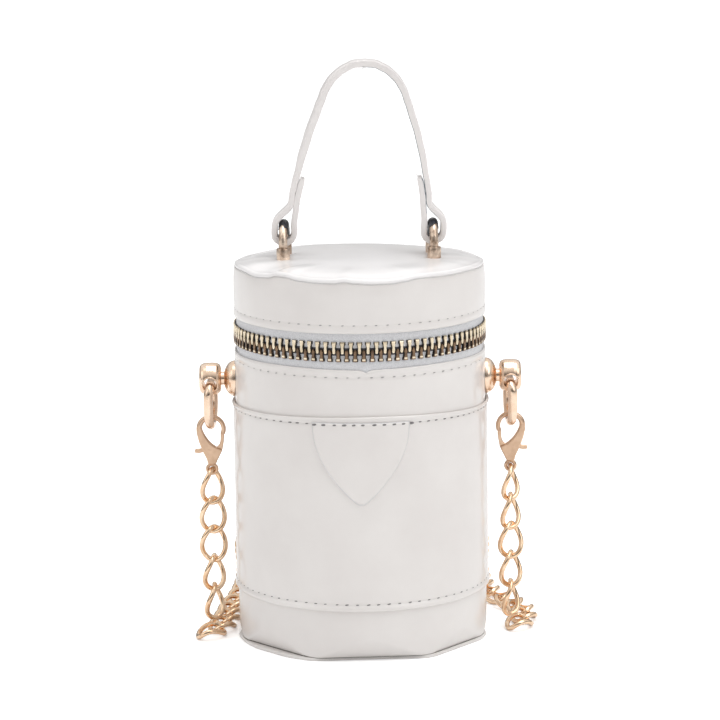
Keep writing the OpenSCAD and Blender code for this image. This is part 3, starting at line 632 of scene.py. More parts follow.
def tab_piece():
    low, high = box_mm("front_tab")
    half_w, top = high[0], high[2] + 0.3
    height = high[2] - low[2]
    right = smooth(TAB_SHARES, 4)
    outline = right + [(-x, y) for x, y in reversed(right)] + [(-1 + 2 * i / 16, 0) for i in range(1, 16)]
    rows = []
    for grow, lift in TAB_RISE:
        row = []
        for x, y in outline:
            y = max(0.0, TAB_MIDDLE + (y - TAB_MIDDLE) * grow)
            angle = -90 + math.degrees(x * grow * half_w / (WRAP_R + 0.5))
            row.append(polar(WRAP_R + lift, angle, top - y * height))
        rows.append(row)
    # The steep edge rows take the pale painted shade, for the shade round the tab's contour.
    picks = [1 if 2 <= j <= 4 else 0 for j in range(len(rows) - 1) for _ in outline]
    tidy_points(add_piece("tab_skin", skin(rows), [LEATHER, PALE_SHADE], "root", ["front_tab"],
                          picks, sharp=80))


# Stitch rows, coloured grey as painted shade of white thread sunk in its holes
def stitch_row(name, radius, height, pitch, first, body, material, length=1.3, width=0.42, fade=0.0,
               skip=None):
    """A row of short threads; first is the angle from the front of one of them, and fade shrinks those
    at the sides."""
    count = round(2 * math.pi * BARREL_R / pitch)
    parts = []
    for i in range(count):
        a = first - 90 + 360 * i / count + random.uniform(-0.35, 0.35)
        out = Vector(polar(1, a, 0))
        tilt = Matrix.Rotation(math.radians(random.uniform(2, 9)), 3, out)
        if skip and skip(a):
            continue
        z = height(a)
        r = radius(a)
        rise = (height(a + 1) - height(a - 1)) / 2
        along = Vector(polar(r, a + 1, z + rise)) - Vector(polar(r, a, z))
        size = (1 - fade * step(abs(off_front(a)), 25, 75)) * random.uniform(0.85, 1.1)
        parts.append(pill(polar(r, a, z), tilt @ along, out, length * size, width * size, 0.4))
    add_piece(name, joined(parts), [material], body)


def over_tab(angle):
    return abs(off_front(angle)) < 22.5


# Zip teeth: bright faces, and dark sides that are partly oxide and partly painted shade between the teeth
TOOTH_PITCH = 3.2
TOOTH_DEEP = 2.8
TAPE_T = 0.6
HINGE_ANGLE = 60
END_ANGLE = 18
TOOTH_R = TAPE_R - TAPE_T / 2
TOOTH_STEP = math.degrees(TOOTH_PITCH / TOOTH_R)
CHAIN_Z = ZIP_Z - 0.45
ZIP_START = 90 + HINGE_ANGLE / 2
ZIP_END = 450 - HINGE_ANGLE / 2
TOOTH_OUTLINE = [(1.12, 3.8), (1.12, 2.85), (0.84, 2.5), (0.78, 1.6), (0.9, 1.2), (0.9, 0.4), (0.66, -0.2),
                 (0.46, -0.85)]
FACE_OUTLINE = [(0.74, 3.72), (0.76, 2.9), (0.66, 2.4), (0.52, 1.6), (0.56, 1.0), (0.66, 0.3), (0.5, -0.3),
                (0.3, -0.7)]
TOOTH_MIDDLE = 1.6


def mirrored(half):
    return half + [(-x, y) for x, y in reversed(half)]


def tooth_mesh(angle, up):
    """A cast body, dark with oxide and painted shade, with a narrower bright face."""
    body, face = mirrored(TOOTH_OUTLINE), mirrored(FACE_OUTLINE)
    front = TOOTH_DEEP / 2
    rows = []
    for outline, depth, share in ((body, -front, 1), (body, front - 0.8, 1), (body, front - 0.55, 0.93),
                                  (face, front - 0.5, 1.06), (face, front - 0.15, 1), (face, front, 0.82)):
        rows.append([
            polar(TOOTH_R + depth, angle + math.degrees(x * share / TOOTH_R),
                  CHAIN_Z + up * (TOOTH_MIDDLE + (y - TOOTH_MIDDLE) * share))
            for x, y in outline
        ])
    if up < 0:
        rows = [row[::-1] for row in rows]
    verts, faces = skin(rows)
    width = len(body)
    last = len(verts) - width
    foot = [0, 1, width - 2, width - 1]
    faces.append(tuple(range(width)))
    faces.append(tuple(last + k for k in reversed(range(1, width - 1))))
    faces.append(tuple(last + k for k in reversed(foot)))
    return verts, faces, [1] * (3 * width) + [0] * (2 * width) + [1, 0, 2]


def tooth_row(name, up, spans, body, replaces):
    shift = TOOTH_STEP / 2 if up > 0 else 0
    stop = TOOTH_STEP / 3
    teeth = []
    for low, high in spans:
        low, high = max(low, ZIP_START + 2 * stop), min(high, ZIP_END - 2 * stop)
        first = math.ceil((low - ZIP_START - shift) / TOOTH_STEP + 0.5)
        last = math.floor((high - ZIP_START - shift) / TOOTH_STEP - 0.5)
        teeth += [tooth_mesh(ZIP_START + shift + i * TOOTH_STEP, up) for i in range(first, last + 1)]
    picks = [pick for tooth in teeth for pick in tooth[2]]
    # The lower row takes the darker face copy, painted shade.
    shine = TOOTH_FACE if up > 0 else SHADED_TOOTH_FACE
    add_piece(name, joined([tooth[:2] for tooth in teeth]), [shine, TOOTH_SIDE_OXIDE_AND_SHADE, TOOTH_FACE], body,
              replaces, picks, sharp=35)


# Zip tapes
TAPE_EDGE_Y = 1.2 * TAPE_T
TAPE_TUCK = 6


def tape_piece(name, up, spans, body, replaces, reach=TAPE_TUCK):
    """A woven tape with a thick cord at its edge, where the teeth bite, coloured dark there as painted shade.
    """
    far = abs((LID_LOW if up > 0 else BARREL_H) - CHAIN_Z) + reach
    ups = [TAPE_EDGE_Y, TAPE_EDGE_Y + 0.15, 1.0, 1.25, 1.5, 1.7, 2.2, 3, 4, 5, 6, 6.8, 7.6, 9, 11, far]
    ups = [y for y in ups if y <= far]
    parts, picks = [], []
    for low, high in spans:
        steps = max(4, round((high - low) / 2))
        angles = [low + (high - low) * i / steps for i in range(steps + 1)]
        front, back = [], []
        for y in ups:
            cord = 0.1 * bell(y, 1.1, 0.35)
            front.append([polar(TAPE_R - 0.03 + cord + ripple(a, y, 0.08) * step(y, 1.5, 4), a,
                                CHAIN_Z + up * y) for a in angles])
            back.append([polar(TAPE_R - TAPE_T - cord, a, CHAIN_Z + up * y) for a in angles])
        parts.append(skin(front + back[::-1], round_=False, closed=True, caps=True))
        # The cord's rows take the dark painted shade.
        for y in ups + ups[::-1]:
            picks += [1 if y < 1.5 else 0] * steps
        picks += [0, 0]
    add_piece(name, joined(parts), [TAPE, TAPE_SHADE], body, replaces, picks, sharp=50)


# Lid: how high its edge lifts, by the angle from the front
LID_LIFTS = [(-180, -0.5), (-150, 0), (-125, -0.4), (-105, -0.1), (-85, 0.8), (-68, 1.3), (-55, 0.5),
             (-46, 1.0), (-40, 2.2), (-35, 2.1), (-29, 1.2), (-20, 0.8), (-12, 0.8), (-6, 1.3), (-2, 0.8),
             (6, 0.4), (14, 0.4), (21, 0.9), (27, 1.6), (33, 1.6), (45, 1.4), (58, 1.4), (68, 1.1), (85, 0.6),
             (105, -0.3), (125, -0.1), (150, -0.6), (180, -0.5)]
LID_STITCH = LID_LOW + 2.5
RIM_R = 48.95
BAND_OUTLINE = [(0.1, -0.7), (-0.45, -0.55), (-0.7, -0.2), (-0.55, 0.1), (0.0, 0.2), (0.9, 0.18), (1.7, 0.08),
                (2.2, -0.05), (2.5, -0.13), (2.8, -0.08), (3.3, 0.0), (5, 0.05), (7, 0.06), (9, 0.04),
                (11, 0.0), (12.5, -0.02), (13.6, -0.06), (14.5, -0.12), (15.3, -0.2), (15.9, -0.28),
                (16.5, -0.36), (17.1, -0.44), (17.6, -0.56), (17.9, -0.7), (17.95, -1.3)]
# From the band's drawn top to just above the underside of the lid's rolled edge
BAND_LIFT = LID_EDGE - 1.2 - LID_LOW - 17.9
RIM_ROLL = ((-1.9, 0.62), (-1.35, 0.72), (-0.85, 0.66), (-0.4, 0.42), (-0.1, 0.05), (0, -0.42),
            (-0.06, -0.85), (-0.3, -1.2), (-0.8, -1.42), (-1.4, -1.45), (-1.7, -1.1), (-1.8, -0.2))


def lid_wave(angle):
    front = off_front(angle)
    for (a, low), (b, high) in zip(LID_LIFTS, LID_LIFTS[1:]):
        if a <= front <= b:
            return low + (high - low) * step(front, a, b)
    return 0.0


def lid_band_piece():
    rows = []
    for up, out in BAND_OUTLINE:
        share = step(up, 7, 15)
        rows.append([
            polar(BARREL_R + out + ripple(a, up, 0.12) - 0.25 * (lid_wave(a) - 0.8) * bell(up, 13.5, 2.2), a,
                  LID_LOW + up + lid_wave(a) * share + BAND_LIFT * step(up, 10, 17))
            for a in RING
        ])
    for up in (16.2, 9, 0.9):
        rows.append([polar(BARREL_R - LEATHER_T - 0.9 * step(up, 10, 16), a, LID_LOW + up) for a in RING])
    add_piece("lid_band_skin", skin(rows, closed=True), [LEATHER], "lid", ["lid_band"], sharp=70)


def crown(r):
    """Height of the lid's crowned top."""
    return LID_EDGE + CROWN_H * (1 - (min(r, BARREL_R) / BARREL_R) ** 4)


def lid_top_piece():
    feet = [(sx, sy) for sx in (-STAPLE_X, STAPLE_X) for sy in (-STAPLE_HALF, STAPLE_HALF)]
    rows = []
    for r in [0.05, 3, 6, 10, 14, 18, 22, 25, 28, 31, 34, 37, 40, 42, 44, 45.5, 46.6]:
        line = []
        for a in RING:
            x, y, z = polar(r, a, crown(r))
            dip = sum(0.3 * bell(math.hypot(x - sx, y - sy), 0, 4.0) for sx, sy in feet)
            soft = 0.05 * math.sin(x / 8 + 0.6) * math.cos(y / 10) + 0.03 * math.sin(x / 17 - y / 6)
            z += soft - dip - 0.22 * bell(r, 45, 1.3) + lid_wave(a) * step(r, 26, 47)
            line.append((x, y, z))
        rows.append(line)
    for out, z in RIM_ROLL:
        rows.append([polar(RIM_R + out + ripple(a, 0, 0.12), a, LID_EDGE + z + lid_wave(a)) for a in RING])
    rows.append([polar(44, a, crown(44) - LEATHER_T + 0.1) for a in RING])
    rows.append([polar(0.05, a, crown(0) - LEATHER_T) for a in RING])
    # The top takes the lighter leather copy, a painted highlight.
    add_piece("lid_top_skin", skin(rows), [LIT_LID_LEATHER], "lid", ["lid_top"], sharp=75)


# Height of the pale painted shade under the lid's rim.
def lid_rim_shade_height(angle):
    return 0.18 + 0.05 * sind(9 * angle)


# Handle strap: two plies, with painted shade along the gap between them, dark on the right and pale
# elsewhere. The arch's right half is in shares of its half width and of its rise, and the lap starts at one
# of its points.
STRAP_T = 2.4
STRAP_HALF_W = 3.95
CROTCH_Z = ARCH_Z + 14.72
HANDLE_RISE = 55.2
ARCH_SHARES = [(0, 1), (0.14, 0.993), (0.28, 0.965), (0.417, 0.92), (0.551, 0.84), (0.632, 0.757),
               (0.689, 0.68), (0.781, 0.52), (0.858, 0.357), (0.923, 0.198), (0.957, 0.11), (0.978, 0.05),
               (1, -0.01)]
LAP_FROM = 9
LAP_GAP = 2.45
LOOP_GAP = 5.35
CROTCH_IN = 1.7
LEAN = 3.0
LEAN_FROM = 156
THREAD_ENDS = [[(2.7, -3.8, 226.6), (2.8, -4.05, 225.9), (2.3, -4.2, 225.5), (1.9, -4.1, 225.7)],
               [(2.9, -3.8, 226.6), (3.3, -4.1, 225.8), (3.6, -4.0, 225.6)],
               [(-23.6, -3.7, 173.4), (-23.1, -4.1, 172.9), (-22.7, -4.3, 172.9)],
               [(23.4, -3.8, 183.2), (22.9, -4.1, 183.9), (22.6, -4.2, 184.1)]]


def strap_lean(z):
    """How far the handle leans to the right at a height."""
    share = min(1, max(0, (z - LEAN_FROM) / (CROTCH_Z + HANDLE_RISE - LEAN_FROM)))
    return LEAN / 2 * (math.sin(share * math.pi / 2) + step(share, 0, 1))


def strap_path():
    """The strap's middle line, from one lap's end over the arch to the other's."""
    loop_r = LOOP_GAP / 2 + STRAP_T / 2
    loop_z = ARCH_Z + loop_r
    half = [(x * (STAPLE_X - CROTCH_IN) * (1 - 0.055 * bell(y, 0.75, 0.28)), CROTCH_Z + y * HANDLE_RISE)
            for x, y in ARCH_SHARES]
    shoulder = (CROTCH_Z - loop_z) / 2
    bow = [(STAPLE_X + loop_r * cosd(a), loop_z + loop_r * sind(a)) for a in range(0, -181, -20)]
    under = half[LAP_FROM:-1]
    lap = [(x + LAP_GAP * along[1], z - LAP_GAP * along[0]) for (x, z), along in zip(under, headings(under))]
    right = smooth(half + [(STAPLE_X + 0.86 * loop_r, loop_z + 0.85 * shoulder)] + bow
                   + [(STAPLE_X - 0.96 * loop_r, loop_z + 0.8 * shoulder)] + lap[::-1], 6)
    whole = [(-x, z) for x, z in reversed(right)] + right[1:]
    return [(x + strap_lean(z), z) for x, z in whole]


def strap_piece():
    path = strap_path()
    soft = 0.5
    count = len(path)
    corners = ((1, -1, -90), (1, 1, 0), (-1, 1, 90), (-1, -1, 180))
    rows = []
    for i, ((x, z), along) in enumerate(zip(path, headings(path))):
        half_t = (STRAP_T + 0.3 * step(z, 184, 192)) / 2 * (1 - 0.35 * step(3 - min(i, count - 1 - i), 0, 3))
        roll = math.radians(5) * step(-x, 0, 18) * step(z, 176, 196)
        wander = 0.06 * math.sin(i * 0.9) + 0.05 * math.sin(i * 0.37 + 1)
        row = []
        for sx, sy, start in corners:
            for t in (0, 30, 60, 90):
                n = sx * (half_t - soft) + soft * cosd(start + t)
                y = sy * (STRAP_HALF_W - soft) + soft * sind(start + t)
                n, y = n * math.cos(roll) + y * math.sin(roll), y * math.cos(roll) - n * math.sin(roll)
                row.append((x - (n + wander) * along[1], y, z + (n + wander) * along[0]))
        rows.append(row)
    picks = []
    # Painted shade along the gap between the plies: dark on the right above the crotch, pale elsewhere.
    for x, z in path[:-1]:
        gap_shade_pick = 1 if x > 2 and z > CROTCH_Z - 4 else 2
        picks += [gap_shade_pick if k == 12 or k == 13 and gap_shade_pick == 1 else 0 for k in range(len(rows[0]))]
    add_piece("strap_skin", capped(rows), [STRAP_LEATHER, PLY_GAP_SHADE, PALE_SHADE], "handle",
              ["handle_strap"], picks + [0, 0], sharp=50)
    add_piece("thread_ends", joined([tube(smooth(line, 5), 0.13, 6) for line in THREAD_ENDS]),
              [LOOSE_THREAD], "handle")


# Staples, a little turned in at the back
TOE = 2
COLLAR = [(0.0, 0), (2.5, 0), (2.62, 0.15), (2.6, 1.4), (2.66, 2.8), (2.62, 4.15), (2.5, 4.4), (2.2, 4.46),
          (1.6, 4.42)]


def toed(x):
    """The place of a fitting at x whose back is turned in towards the middle."""
    return Matrix.Translation((x, 0, 0)) @ turned(TOE if x > 0 else -TOE, "Z")


def staple_piece(side, sx):
    foot = crown(STAPLE_X) - 0.25
    path = [(0, STAPLE_HALF, foot + 1), (0, STAPLE_HALF, foot + 3)]
    path += [(0, STAPLE_HALF * cosd(t), ARCH_Z + STAPLE_HALF * sind(t)) for t in range(0, 181, 6)]
    path += [(0, -STAPLE_HALF, foot + 3), (0, -STAPLE_HALF, foot + 1)]
    collar = skin([[polar(r, 360 * k / 40, z) for k in range(40)] for r, z in COLLAR])
    parts = [tube(path, STAPLE_WIRE / 2, 24, up=X_WAY)]
    for y in (-STAPLE_HALF, STAPLE_HALF):
        squeeze = Matrix.Diagonal((1 + random.uniform(-0.02, 0.05), 1, 1, 1))
        parts.append(placed(collar, Matrix.Translation((0, y, foot)) @ squeeze))
    add_piece("staple_skin_" + side, placed(joined(parts), toed(sx * STAPLE_X)), [BEATEN], "lid",
              ["staple_" + side], sharp=45)


def sleeve_piece():
    """Black tape wound over each arch, with ragged ends."""
    count, sides = 22, 20
    parts = []
    for _, sx in SIDES:
        ends = [(-33 + random.uniform(-9, 7), 76 + random.uniform(-12, 12)) for _ in range(sides)]
        rows = []
        for layer, wound in ((0.02, 0), (0.26, 0.09)):
            lines = []
            for share in (i / count for i in range(count + 1)):
                line = []
                for k, b in enumerate(turns(sides)):
                    start, end = ends[k]
                    t = 90 - (start + (end - start) * share)
                    r = STAPLE_WIRE / 2 + layer + wound * math.sin(3 * b + 40 * share + k % 3)
                    out = STAPLE_HALF + r * math.cos(b)
                    line.append((r * math.sin(b), out * cosd(t), ARCH_Z + out * sind(t)))
                lines.append(line)
            rows += lines if wound else lines[::-1]
        parts.append(placed(skin(rows, closed=True), toed(sx * STAPLE_X)))
    add_piece("sleeve_skin", joined(parts), [SLEEVE], "lid", ["staple_sleeves"], sharp=50)


# Side fittings
HEAD_R = 6.25
HOLE_R = 3.05
HOLE_DROP = 1.6
RING_WIRE = 3.6
RING_HALF = 8.5
RING_CORNER = 2.7
RING_DROP = 16.0
TURN_IN = 0.08


def mouth_pieces():
    """The rounded rims of the holes through the posts' heads."""
    parts = []
    for sx, sy in ((-1, -1), (-1, 1), (1, -1), (1, 1)):
        path = []
        for a in turns(32):
            up = HOLE_R * math.sin(a) - HOLE_DROP
            y = sy * (math.sqrt(HEAD_R ** 2 - up ** 2) - 0.1)
            path.append((sx * HANG_X + HOLE_R * math.cos(a), y, POST_Z + up))
        parts.append(tube(path, 0.3, 10, closed=True, up=Y_WAY))
    add_piece("hole_rims", joined(parts), [FITTING], "root")


def ring_piece(side, sx):
    """A D-ring with its bar in the hole and its bow turned in a little at the back."""
    bar = box_mm("d_ring_" + side)[1][2] - RING_WIRE / 2
    low = bar - RING_DROP + RING_HALF
    bend = [(RING_HALF - RING_CORNER + RING_CORNER * sind(t), bar - RING_CORNER + RING_CORNER * cosd(t))
            for t in range(10, 91, 16)]
    bend += [(RING_HALF, bar - RING_CORNER - down) for down in (1.5, 3.2)]
    bow = [(RING_HALF * cosd(t), low - RING_HALF * sind(t)) for t in range(0, 181, 6)]
    path = [(y, bar) for y in (-5.6, -3, 0, 3, 5.6)] + bend + bow + [(-y, z) for y, z in reversed(bend)]
    path = [(-sx * y * TURN_IN * step(bar - z, 0.2, 3), y, z) for y, z in path]
    wire = tube(path, RING_WIRE / 2, 24, closed=True, up=X_WAY)
    add_piece("ring_skin_" + side, placed(wire, Matrix.Translation((sx * HANG_X, 0, 0))), [FITTING],
              "ring_" + side, ["d_ring_" + side], sharp=60)


# Claws: a round hook that grows into two cheeks, and the gate between them, in shares of the claw's width
CLAW_W = 11.7
CLAW_WIRE = 0.17 * CLAW_W
EYE_DROP = 1.385 * CLAW_W
CHEEK = [(-0.50, 0.06), (-0.49, -0.14), (-0.44, -0.37), (-0.37, -0.58), (-0.28, -0.80), (-0.17, -1.03),
         (-0.11, -1.20), (0.11, -1.20), (0.20, -1.05), (0.29, -0.87), (0.34, -0.72), (0.17, -0.64),
         (0.09, -0.59), (-0.04, -0.48), (-0.16, -0.33), (-0.25, -0.17), (-0.31, -0.02), (-0.325, 0.06)]
GATE = [(0.31, -0.12), (0.42, -0.185), (0.425, -0.34), (0.38, -0.62), (0.32, -0.80), (0.12, -0.86),
        (-0.10, -0.87), (-0.28, -0.80), (-0.42, -0.83), (-0.56, -0.815), (-0.575, -0.76), (-0.555, -0.70),
        (-0.40, -0.68), (-0.25, -0.64), (-0.08, -0.60), (0.10, -0.645), (0.24, -0.56), (0.30, -0.40)]


def cheek_depth(z):
    """The cheeks' share of their full depth, which they reach below the hook."""
    return 0.62 + 0.38 * step(-z, 0, 0.36 * CLAW_W)


def soft_plate(shares, low, high, soft, depth=None):
    """A plate with rounded edges, lying across Y; depth scales it by height."""
    outline = [(x * CLAW_W, z * CLAW_W) for x, z in smooth(shares + shares[:1], 3)[:-1]]
    area = sum(a[0] * b[1] - b[0] * a[1] for a, b in zip(outline[-1:] + outline, outline))
    way = 1 if area > 0 else -1
    rows = []
    for inset, y in ((soft, low), (0.3 * soft, low + 0.3 * soft), (0, low + soft), (0, high - soft),
                     (0.3 * soft, high - 0.3 * soft), (soft, high)):
        rows.append([
            (x - way * inset * along[1], y * (depth(z) if depth else 1), z + way * inset * along[0])
            for (x, z), along in zip(outline, headings(outline, closed=True))
        ])
    return capped(rows)


def claw_hook():
    bow = (CLAW_W - CLAW_WIRE) / 2
    spine = [(bow * cosd(t), bow * sind(t), 0.92 + 0.2 * step(t, 30, 170)) for t in range(-22, 179, 8)]
    spine += [(x * CLAW_W, z * CLAW_W, share) for x, z, share in
              ((-0.405, -0.14, 1.2), (-0.35, -0.3, 1.2), (-0.3, -0.42, 0.8))]
    rows = []
    for (x, z, share), along in zip(spine, headings(spine)):
        r = share * CLAW_WIRE / 2
        rows.append([(x + r * math.cos(b) * along[1], r * math.sin(b), z - r * math.cos(b) * along[0])
                     for b in turns(16)])
    return capped(rows)


def claw_pieces(side, sx):
    low, high = box_mm("claw_body_" + side)
    eye_r = high[2] - low[2] - CLAW_W / 2 - 0.055 * CLAW_W - EYE_DROP
    eye = [(eye_r * math.cos(a), 0, eye_r * math.sin(a) - EYE_DROP) for a in turns(28)]
    neck = pill((0, 0, -1.17 * CLAW_W), X_WAY, Z_WAY, 0.2 * CLAW_W, 2.4, 1.6)
    body = [claw_hook(), soft_plate(CHEEK, -1.74, -0.85, 0.42, cheek_depth),
            soft_plate(CHEEK, 0.85, 1.74, 0.42, cheek_depth),
            tube(eye, 0.06 * CLAW_W, 12, closed=True, up=Y_WAY), neck]
    place = Matrix.Translation((sx * HANG_X, 0, high[2] - CLAW_W / 2)) @ Matrix.Diagonal((-sx, 1, 1, 1))
    for kind, form, node in (("claw", joined(body), "claw_body_"),
                             ("gate", soft_plate(GATE, -0.62, 0.62, 0.3), "claw_gate_")):
        tidy_points(add_piece(kind + "_skin_" + side, placed(form, place), [CLAW], kind + "_" + side,
                              [node + side], sharp=50))


# Chain links
LINK_WIRE = 1.6
LINK_W = 11.2
LINK_TWIST = 70
SHOWN_WIRE = 2.0
LINK_L = 11.8241 + 2 * LINK_WIRE + 0.3


def link_at(t):
    """The middle of a link's wire at t radians round it."""
    side = (LINK_W - LINK_WIRE) / 2 * math.sin(t)
    turn = math.radians(LINK_TWIST / 2) * math.cos(t)
    return Vector((side * math.cos(turn), side * math.sin(turn), (LINK_L - LINK_WIRE) / 2 * math.cos(t)))


def link_mesh(place, rings=40, sides=12):
    rows = []
    for t in turns(rings):
        c = link_at(t)
        along = (link_at(t + 0.02) - link_at(t - 0.02)).normalized()
        out = (c - along * c.dot(along)).normalized()
        other = along.cross(out)
        rows.append([tuple(place @ (c + SHOWN_WIRE / 2 * (math.cos(b) * out + math.sin(b) * other)))
                     for b in turns(sides)])
    return skin(rows, closed=True)


def hanging_chain(side, sx, rolls):
    for i, roll in enumerate(rolls, 1):
        node = f"link_{side}_{i}"
        place = Matrix.Translation((sx * HANG_X, 0, middle_of(node, 2))) @ turned(roll, "Z")
        add_piece(f"curb_{side}_{i}", link_mesh(place), [CHAIN], node, [node])


# Route of the lying chain, in shares of the hanging chain's distance from the middle
def bulb(x, y, start, end):
    angles = [start + (end - start) * i / 6 for i in range(7)]
    return [(x + 0.365 * cosd(a), y + 0.365 * sind(a)) for a in angles]


ROUTE = [(-1.085, -0.262), (-1.055, -0.21), (-0.987, -0.093), (-0.943, 0.025), (-0.928, 0.169),
         (-0.916, 0.338), (-0.886, 0.557), (-0.846, 0.78), (-0.82, 1.05), (-0.81, 1.35), (-0.82, 1.7),
         (-0.845, 2.1)]
ROUTE += bulb(-0.49, 2.45, 180, 0) + [(-0.17, 2.2), (-0.25, 2), (-0.33, 1.82)] + bulb(0, 1.58, 180, 360)
ROUTE += [(0.33, 1.82), (0.25, 2), (0.17, 2.2)] + bulb(0.49, 2.45, 180, 0)
ROUTE += [(0.845, 2.1), (0.82, 1.7), (0.815, 1.35), (0.832, 1.063), (0.869, 0.844), (0.937, 0.658),
          (1.03, 0.49), (1.089, 0.338), (1.105, 0.177), (1.077, 0.044), (1.028, -0.089), (1.012, -0.13)]
FLOOR_LINKS = 57
END_LINKS = 8


def floor_chain():
    """Fine links along the route, where the frame's lie."""
    route = smooth([(x * HANG_X, y * HANG_X) for x, y in ROUTE], 6)
    lengths = [0.0]
    for (ax, ay), (bx, by) in zip(route, route[1:]):
        lengths.append(lengths[-1] + math.hypot(bx - ax, by - ay))
    pitch = (lengths[-1] - LINK_L) / (FLOOR_LINKS - 1)

    def at(s):
        i = next((i for i in range(len(route) - 2) if s <= lengths[i + 1]), len(route) - 2)
        share = (s - lengths[i]) / (lengths[i + 1] - lengths[i])
        return [a + (b - a) * share for a, b in zip(route[i], route[i + 1])]

    z = middle_of("chain_floor_back", 2) + 0.1
    stops = (0, END_LINKS, FLOOR_LINKS - END_LINKS, FLOOR_LINKS)
    for name, first, last in zip(("left", "back", "right"), stops, stops[1:]):
        parts = []
        for i in range(first, last):
            s = LINK_L / 2 + i * pitch
            a, b = at(s - pitch / 2), at(s + pitch / 2)
            heading = Matrix.Rotation(math.atan2(b[1] - a[1], b[0] - a[0]), 4, "Z")
            place = Matrix.Translation(((a[0] + b[0]) / 2, (a[1] + b[1]) / 2, z)) @ heading
            parts.append(link_mesh(place @ turned(90, "Y") @ turned(90, "Z"), 30, 9))
        add_piece("curb_floor_" + name, joined(parts), [CHAIN], "root", ["chain_floor_" + name])


# Lining and hinge leather. A hem is folded over the board's edge: how far out, and how far past the edge.
LINING_R = BARREL_R - LINING_INSET
HEM = ((0.15, -0.2), (0.45, 0.12), (0.9, 0.2), (1.4, 0.1), (1.55, -0.2), (1.5, -1.5))


def lining_piece():
    """The barrel's fabric cup, with its hem."""
    low, high = box_mm("barrel_lining")
    floor, top = low[2], high[2]
    rows = [[(0.0, 0.0, floor + 0.05)] * len(RING)]
    for r, z in ((0.0, 0.55), (15, 0.52), (30, 0.55), (42, 0.6), (45, 0.8)):
        rows.append([polar(r * wall_r(a, floor, LINING_INSET) / LINING_R, a, floor + z) for a in RING])
    for z in (1.2, 2, 4, 7, 12, 20, 30, 42, 54, 66, 78, 90, 100, 104, 107):
        rows.append([
            polar(wall_r(a, floor + z, LINING_INSET) - SET_IN + ripple(a, z, 0.22), a, floor + z)
            for a in RING
        ])
    for r, z in ((0, -1.6), (0.02, -0.9), *HEM, (0.6, -3.0), (0.5, -40), (0.5, -100)):
        rows.append([
            polar(wall_r(a, top + z, LINING_INSET) + r + ripple(a, 7, 0.06), a, top + z) for a in RING
        ])
    rows.append([(0.0, 0.0, floor)] * len(RING))
    piece = tidy_points(add_piece("lining_cup", skin(rows), [LINING], "root", ["barrel_lining"],
                                  sharp=60))


def lid_lining_piece():
    """The lid's fabric cap, with the same hem."""
    low, high = box_mm("lid_lining")
    edge, top = low[2], high[2]
    rows = [[(0.0, 0.0, top - 0.55)] * len(RING)]
    for r, z in ((10, -0.58), (20, -0.6), (32, -0.62), (42, -0.65), (45, -0.85), (46, -1.5), (LINING_R, -2.6),
                 (LINING_R, -5), (LINING_R, -8), (LINING_R, -11), (LINING_R, -13.5)):
        rows.append([
            polar(r + ripple(a, z, 0.16) * step(r, 20, 46), a, top + z + ripple(a, r, 0.1) * step(r, 5, 20))
            for a in RING
        ])
    for r, z in ((0, -0.9), *HEM, (0.6, -3), (0.45, -12)):
        rows.append([polar(LINING_R + r + ripple(a, 3, 0.06), a, edge - z) for a in RING])
    rows.append([(0.0, 0.0, top)] * len(RING))
    piece = tidy_points(add_piece("lid_lining_cap", skin([row[::-1] for row in rows]), [LINING], "lid",
                                  ["lid_lining"], sharp=60))


def hinge_piece():
    """The leather strip at the back, in one piece from the barrel to the lid."""
    low, high = box_mm("hinge_strip_lower")[0][2], box_mm("hinge_strip_upper")[1][2]
    angles = [ZIP_END - 360 + 0.15 + (ZIP_START - ZIP_END + 360 - 0.3) * i / 40 for i in range(41)]
    front, back = [], []
    for z in (low + (high - low) * j / 44 for j in range(45)):
        bow = 0.12 * bell(z, ZIP_Z, 3.0)
        front.append([polar(TAPE_R - 0.02 - bow + ripple(a, z, 0.05), a, z) for a in angles])
        back.append([polar(TAPE_R - 0.62 - bow, a, z) for a in angles])
    form = skin(front + back[::-1], round_=False, closed=True, caps=True)
    piece = add_piece("hinge_skin", form, [LEATHER], None, sharp=50)
    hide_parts("hinge_strip_lower", "hinge_strip_upper")
    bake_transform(piece)


# Plain dressing of the pieces whose own shape is kept
KEPT = (
    (CARD, ("base_board", "barrel_board", "lid_board")),
    (FOAM, ("lid_pad",)),
    (TOOTH_FACE, ("zip_stops",)),
    (FITTING, ("zip_slider", "zip_pull_link", "zip_pull", "staple_nuts", "side_post_left", "side_post_right",
               "side_nuts")),
    (CLAW, ("claw_pin_left", "claw_pin_right")),
)


def dress_kept():
    for material, nodes in KEPT:
        for node in nodes:
            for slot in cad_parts[node].material_slots:
                slot.material = material


# Floor, light and backdrop, in metres
FLOOR_REACH = 6
FLOOR_GLOW = 0.34
GREYS = ((0.0, 0.36), (0.1, 0.2), (0.24, 0.48), (0.55, 0.88))


def make_floor():
    s = Shader("floor", 0.9, 0.0, {"Emission Color": (1, 1, 1, 1)})
    s.ramp(s.noise(3, 2), (250, 250, 250), (252, 252, 252))
    glow = s.sums("MULTIPLY", s.add("LightPath", "Is Camera Ray"), FLOOR_GLOW)
    fill(s.shader, {"Emission Strength": glow})
    mesh = bpy.data.meshes.new("floor")
    corners = [(x * FLOOR_REACH, y * FLOOR_REACH, 0) for x, y in ((-1, -1), (1, -1), (1, 1), (-1, 1))]
    mesh.from_pydata(corners, [], [(0, 1, 2, 3)])
    mesh.materials.append(s.material)
    floor = put("floor", mesh)


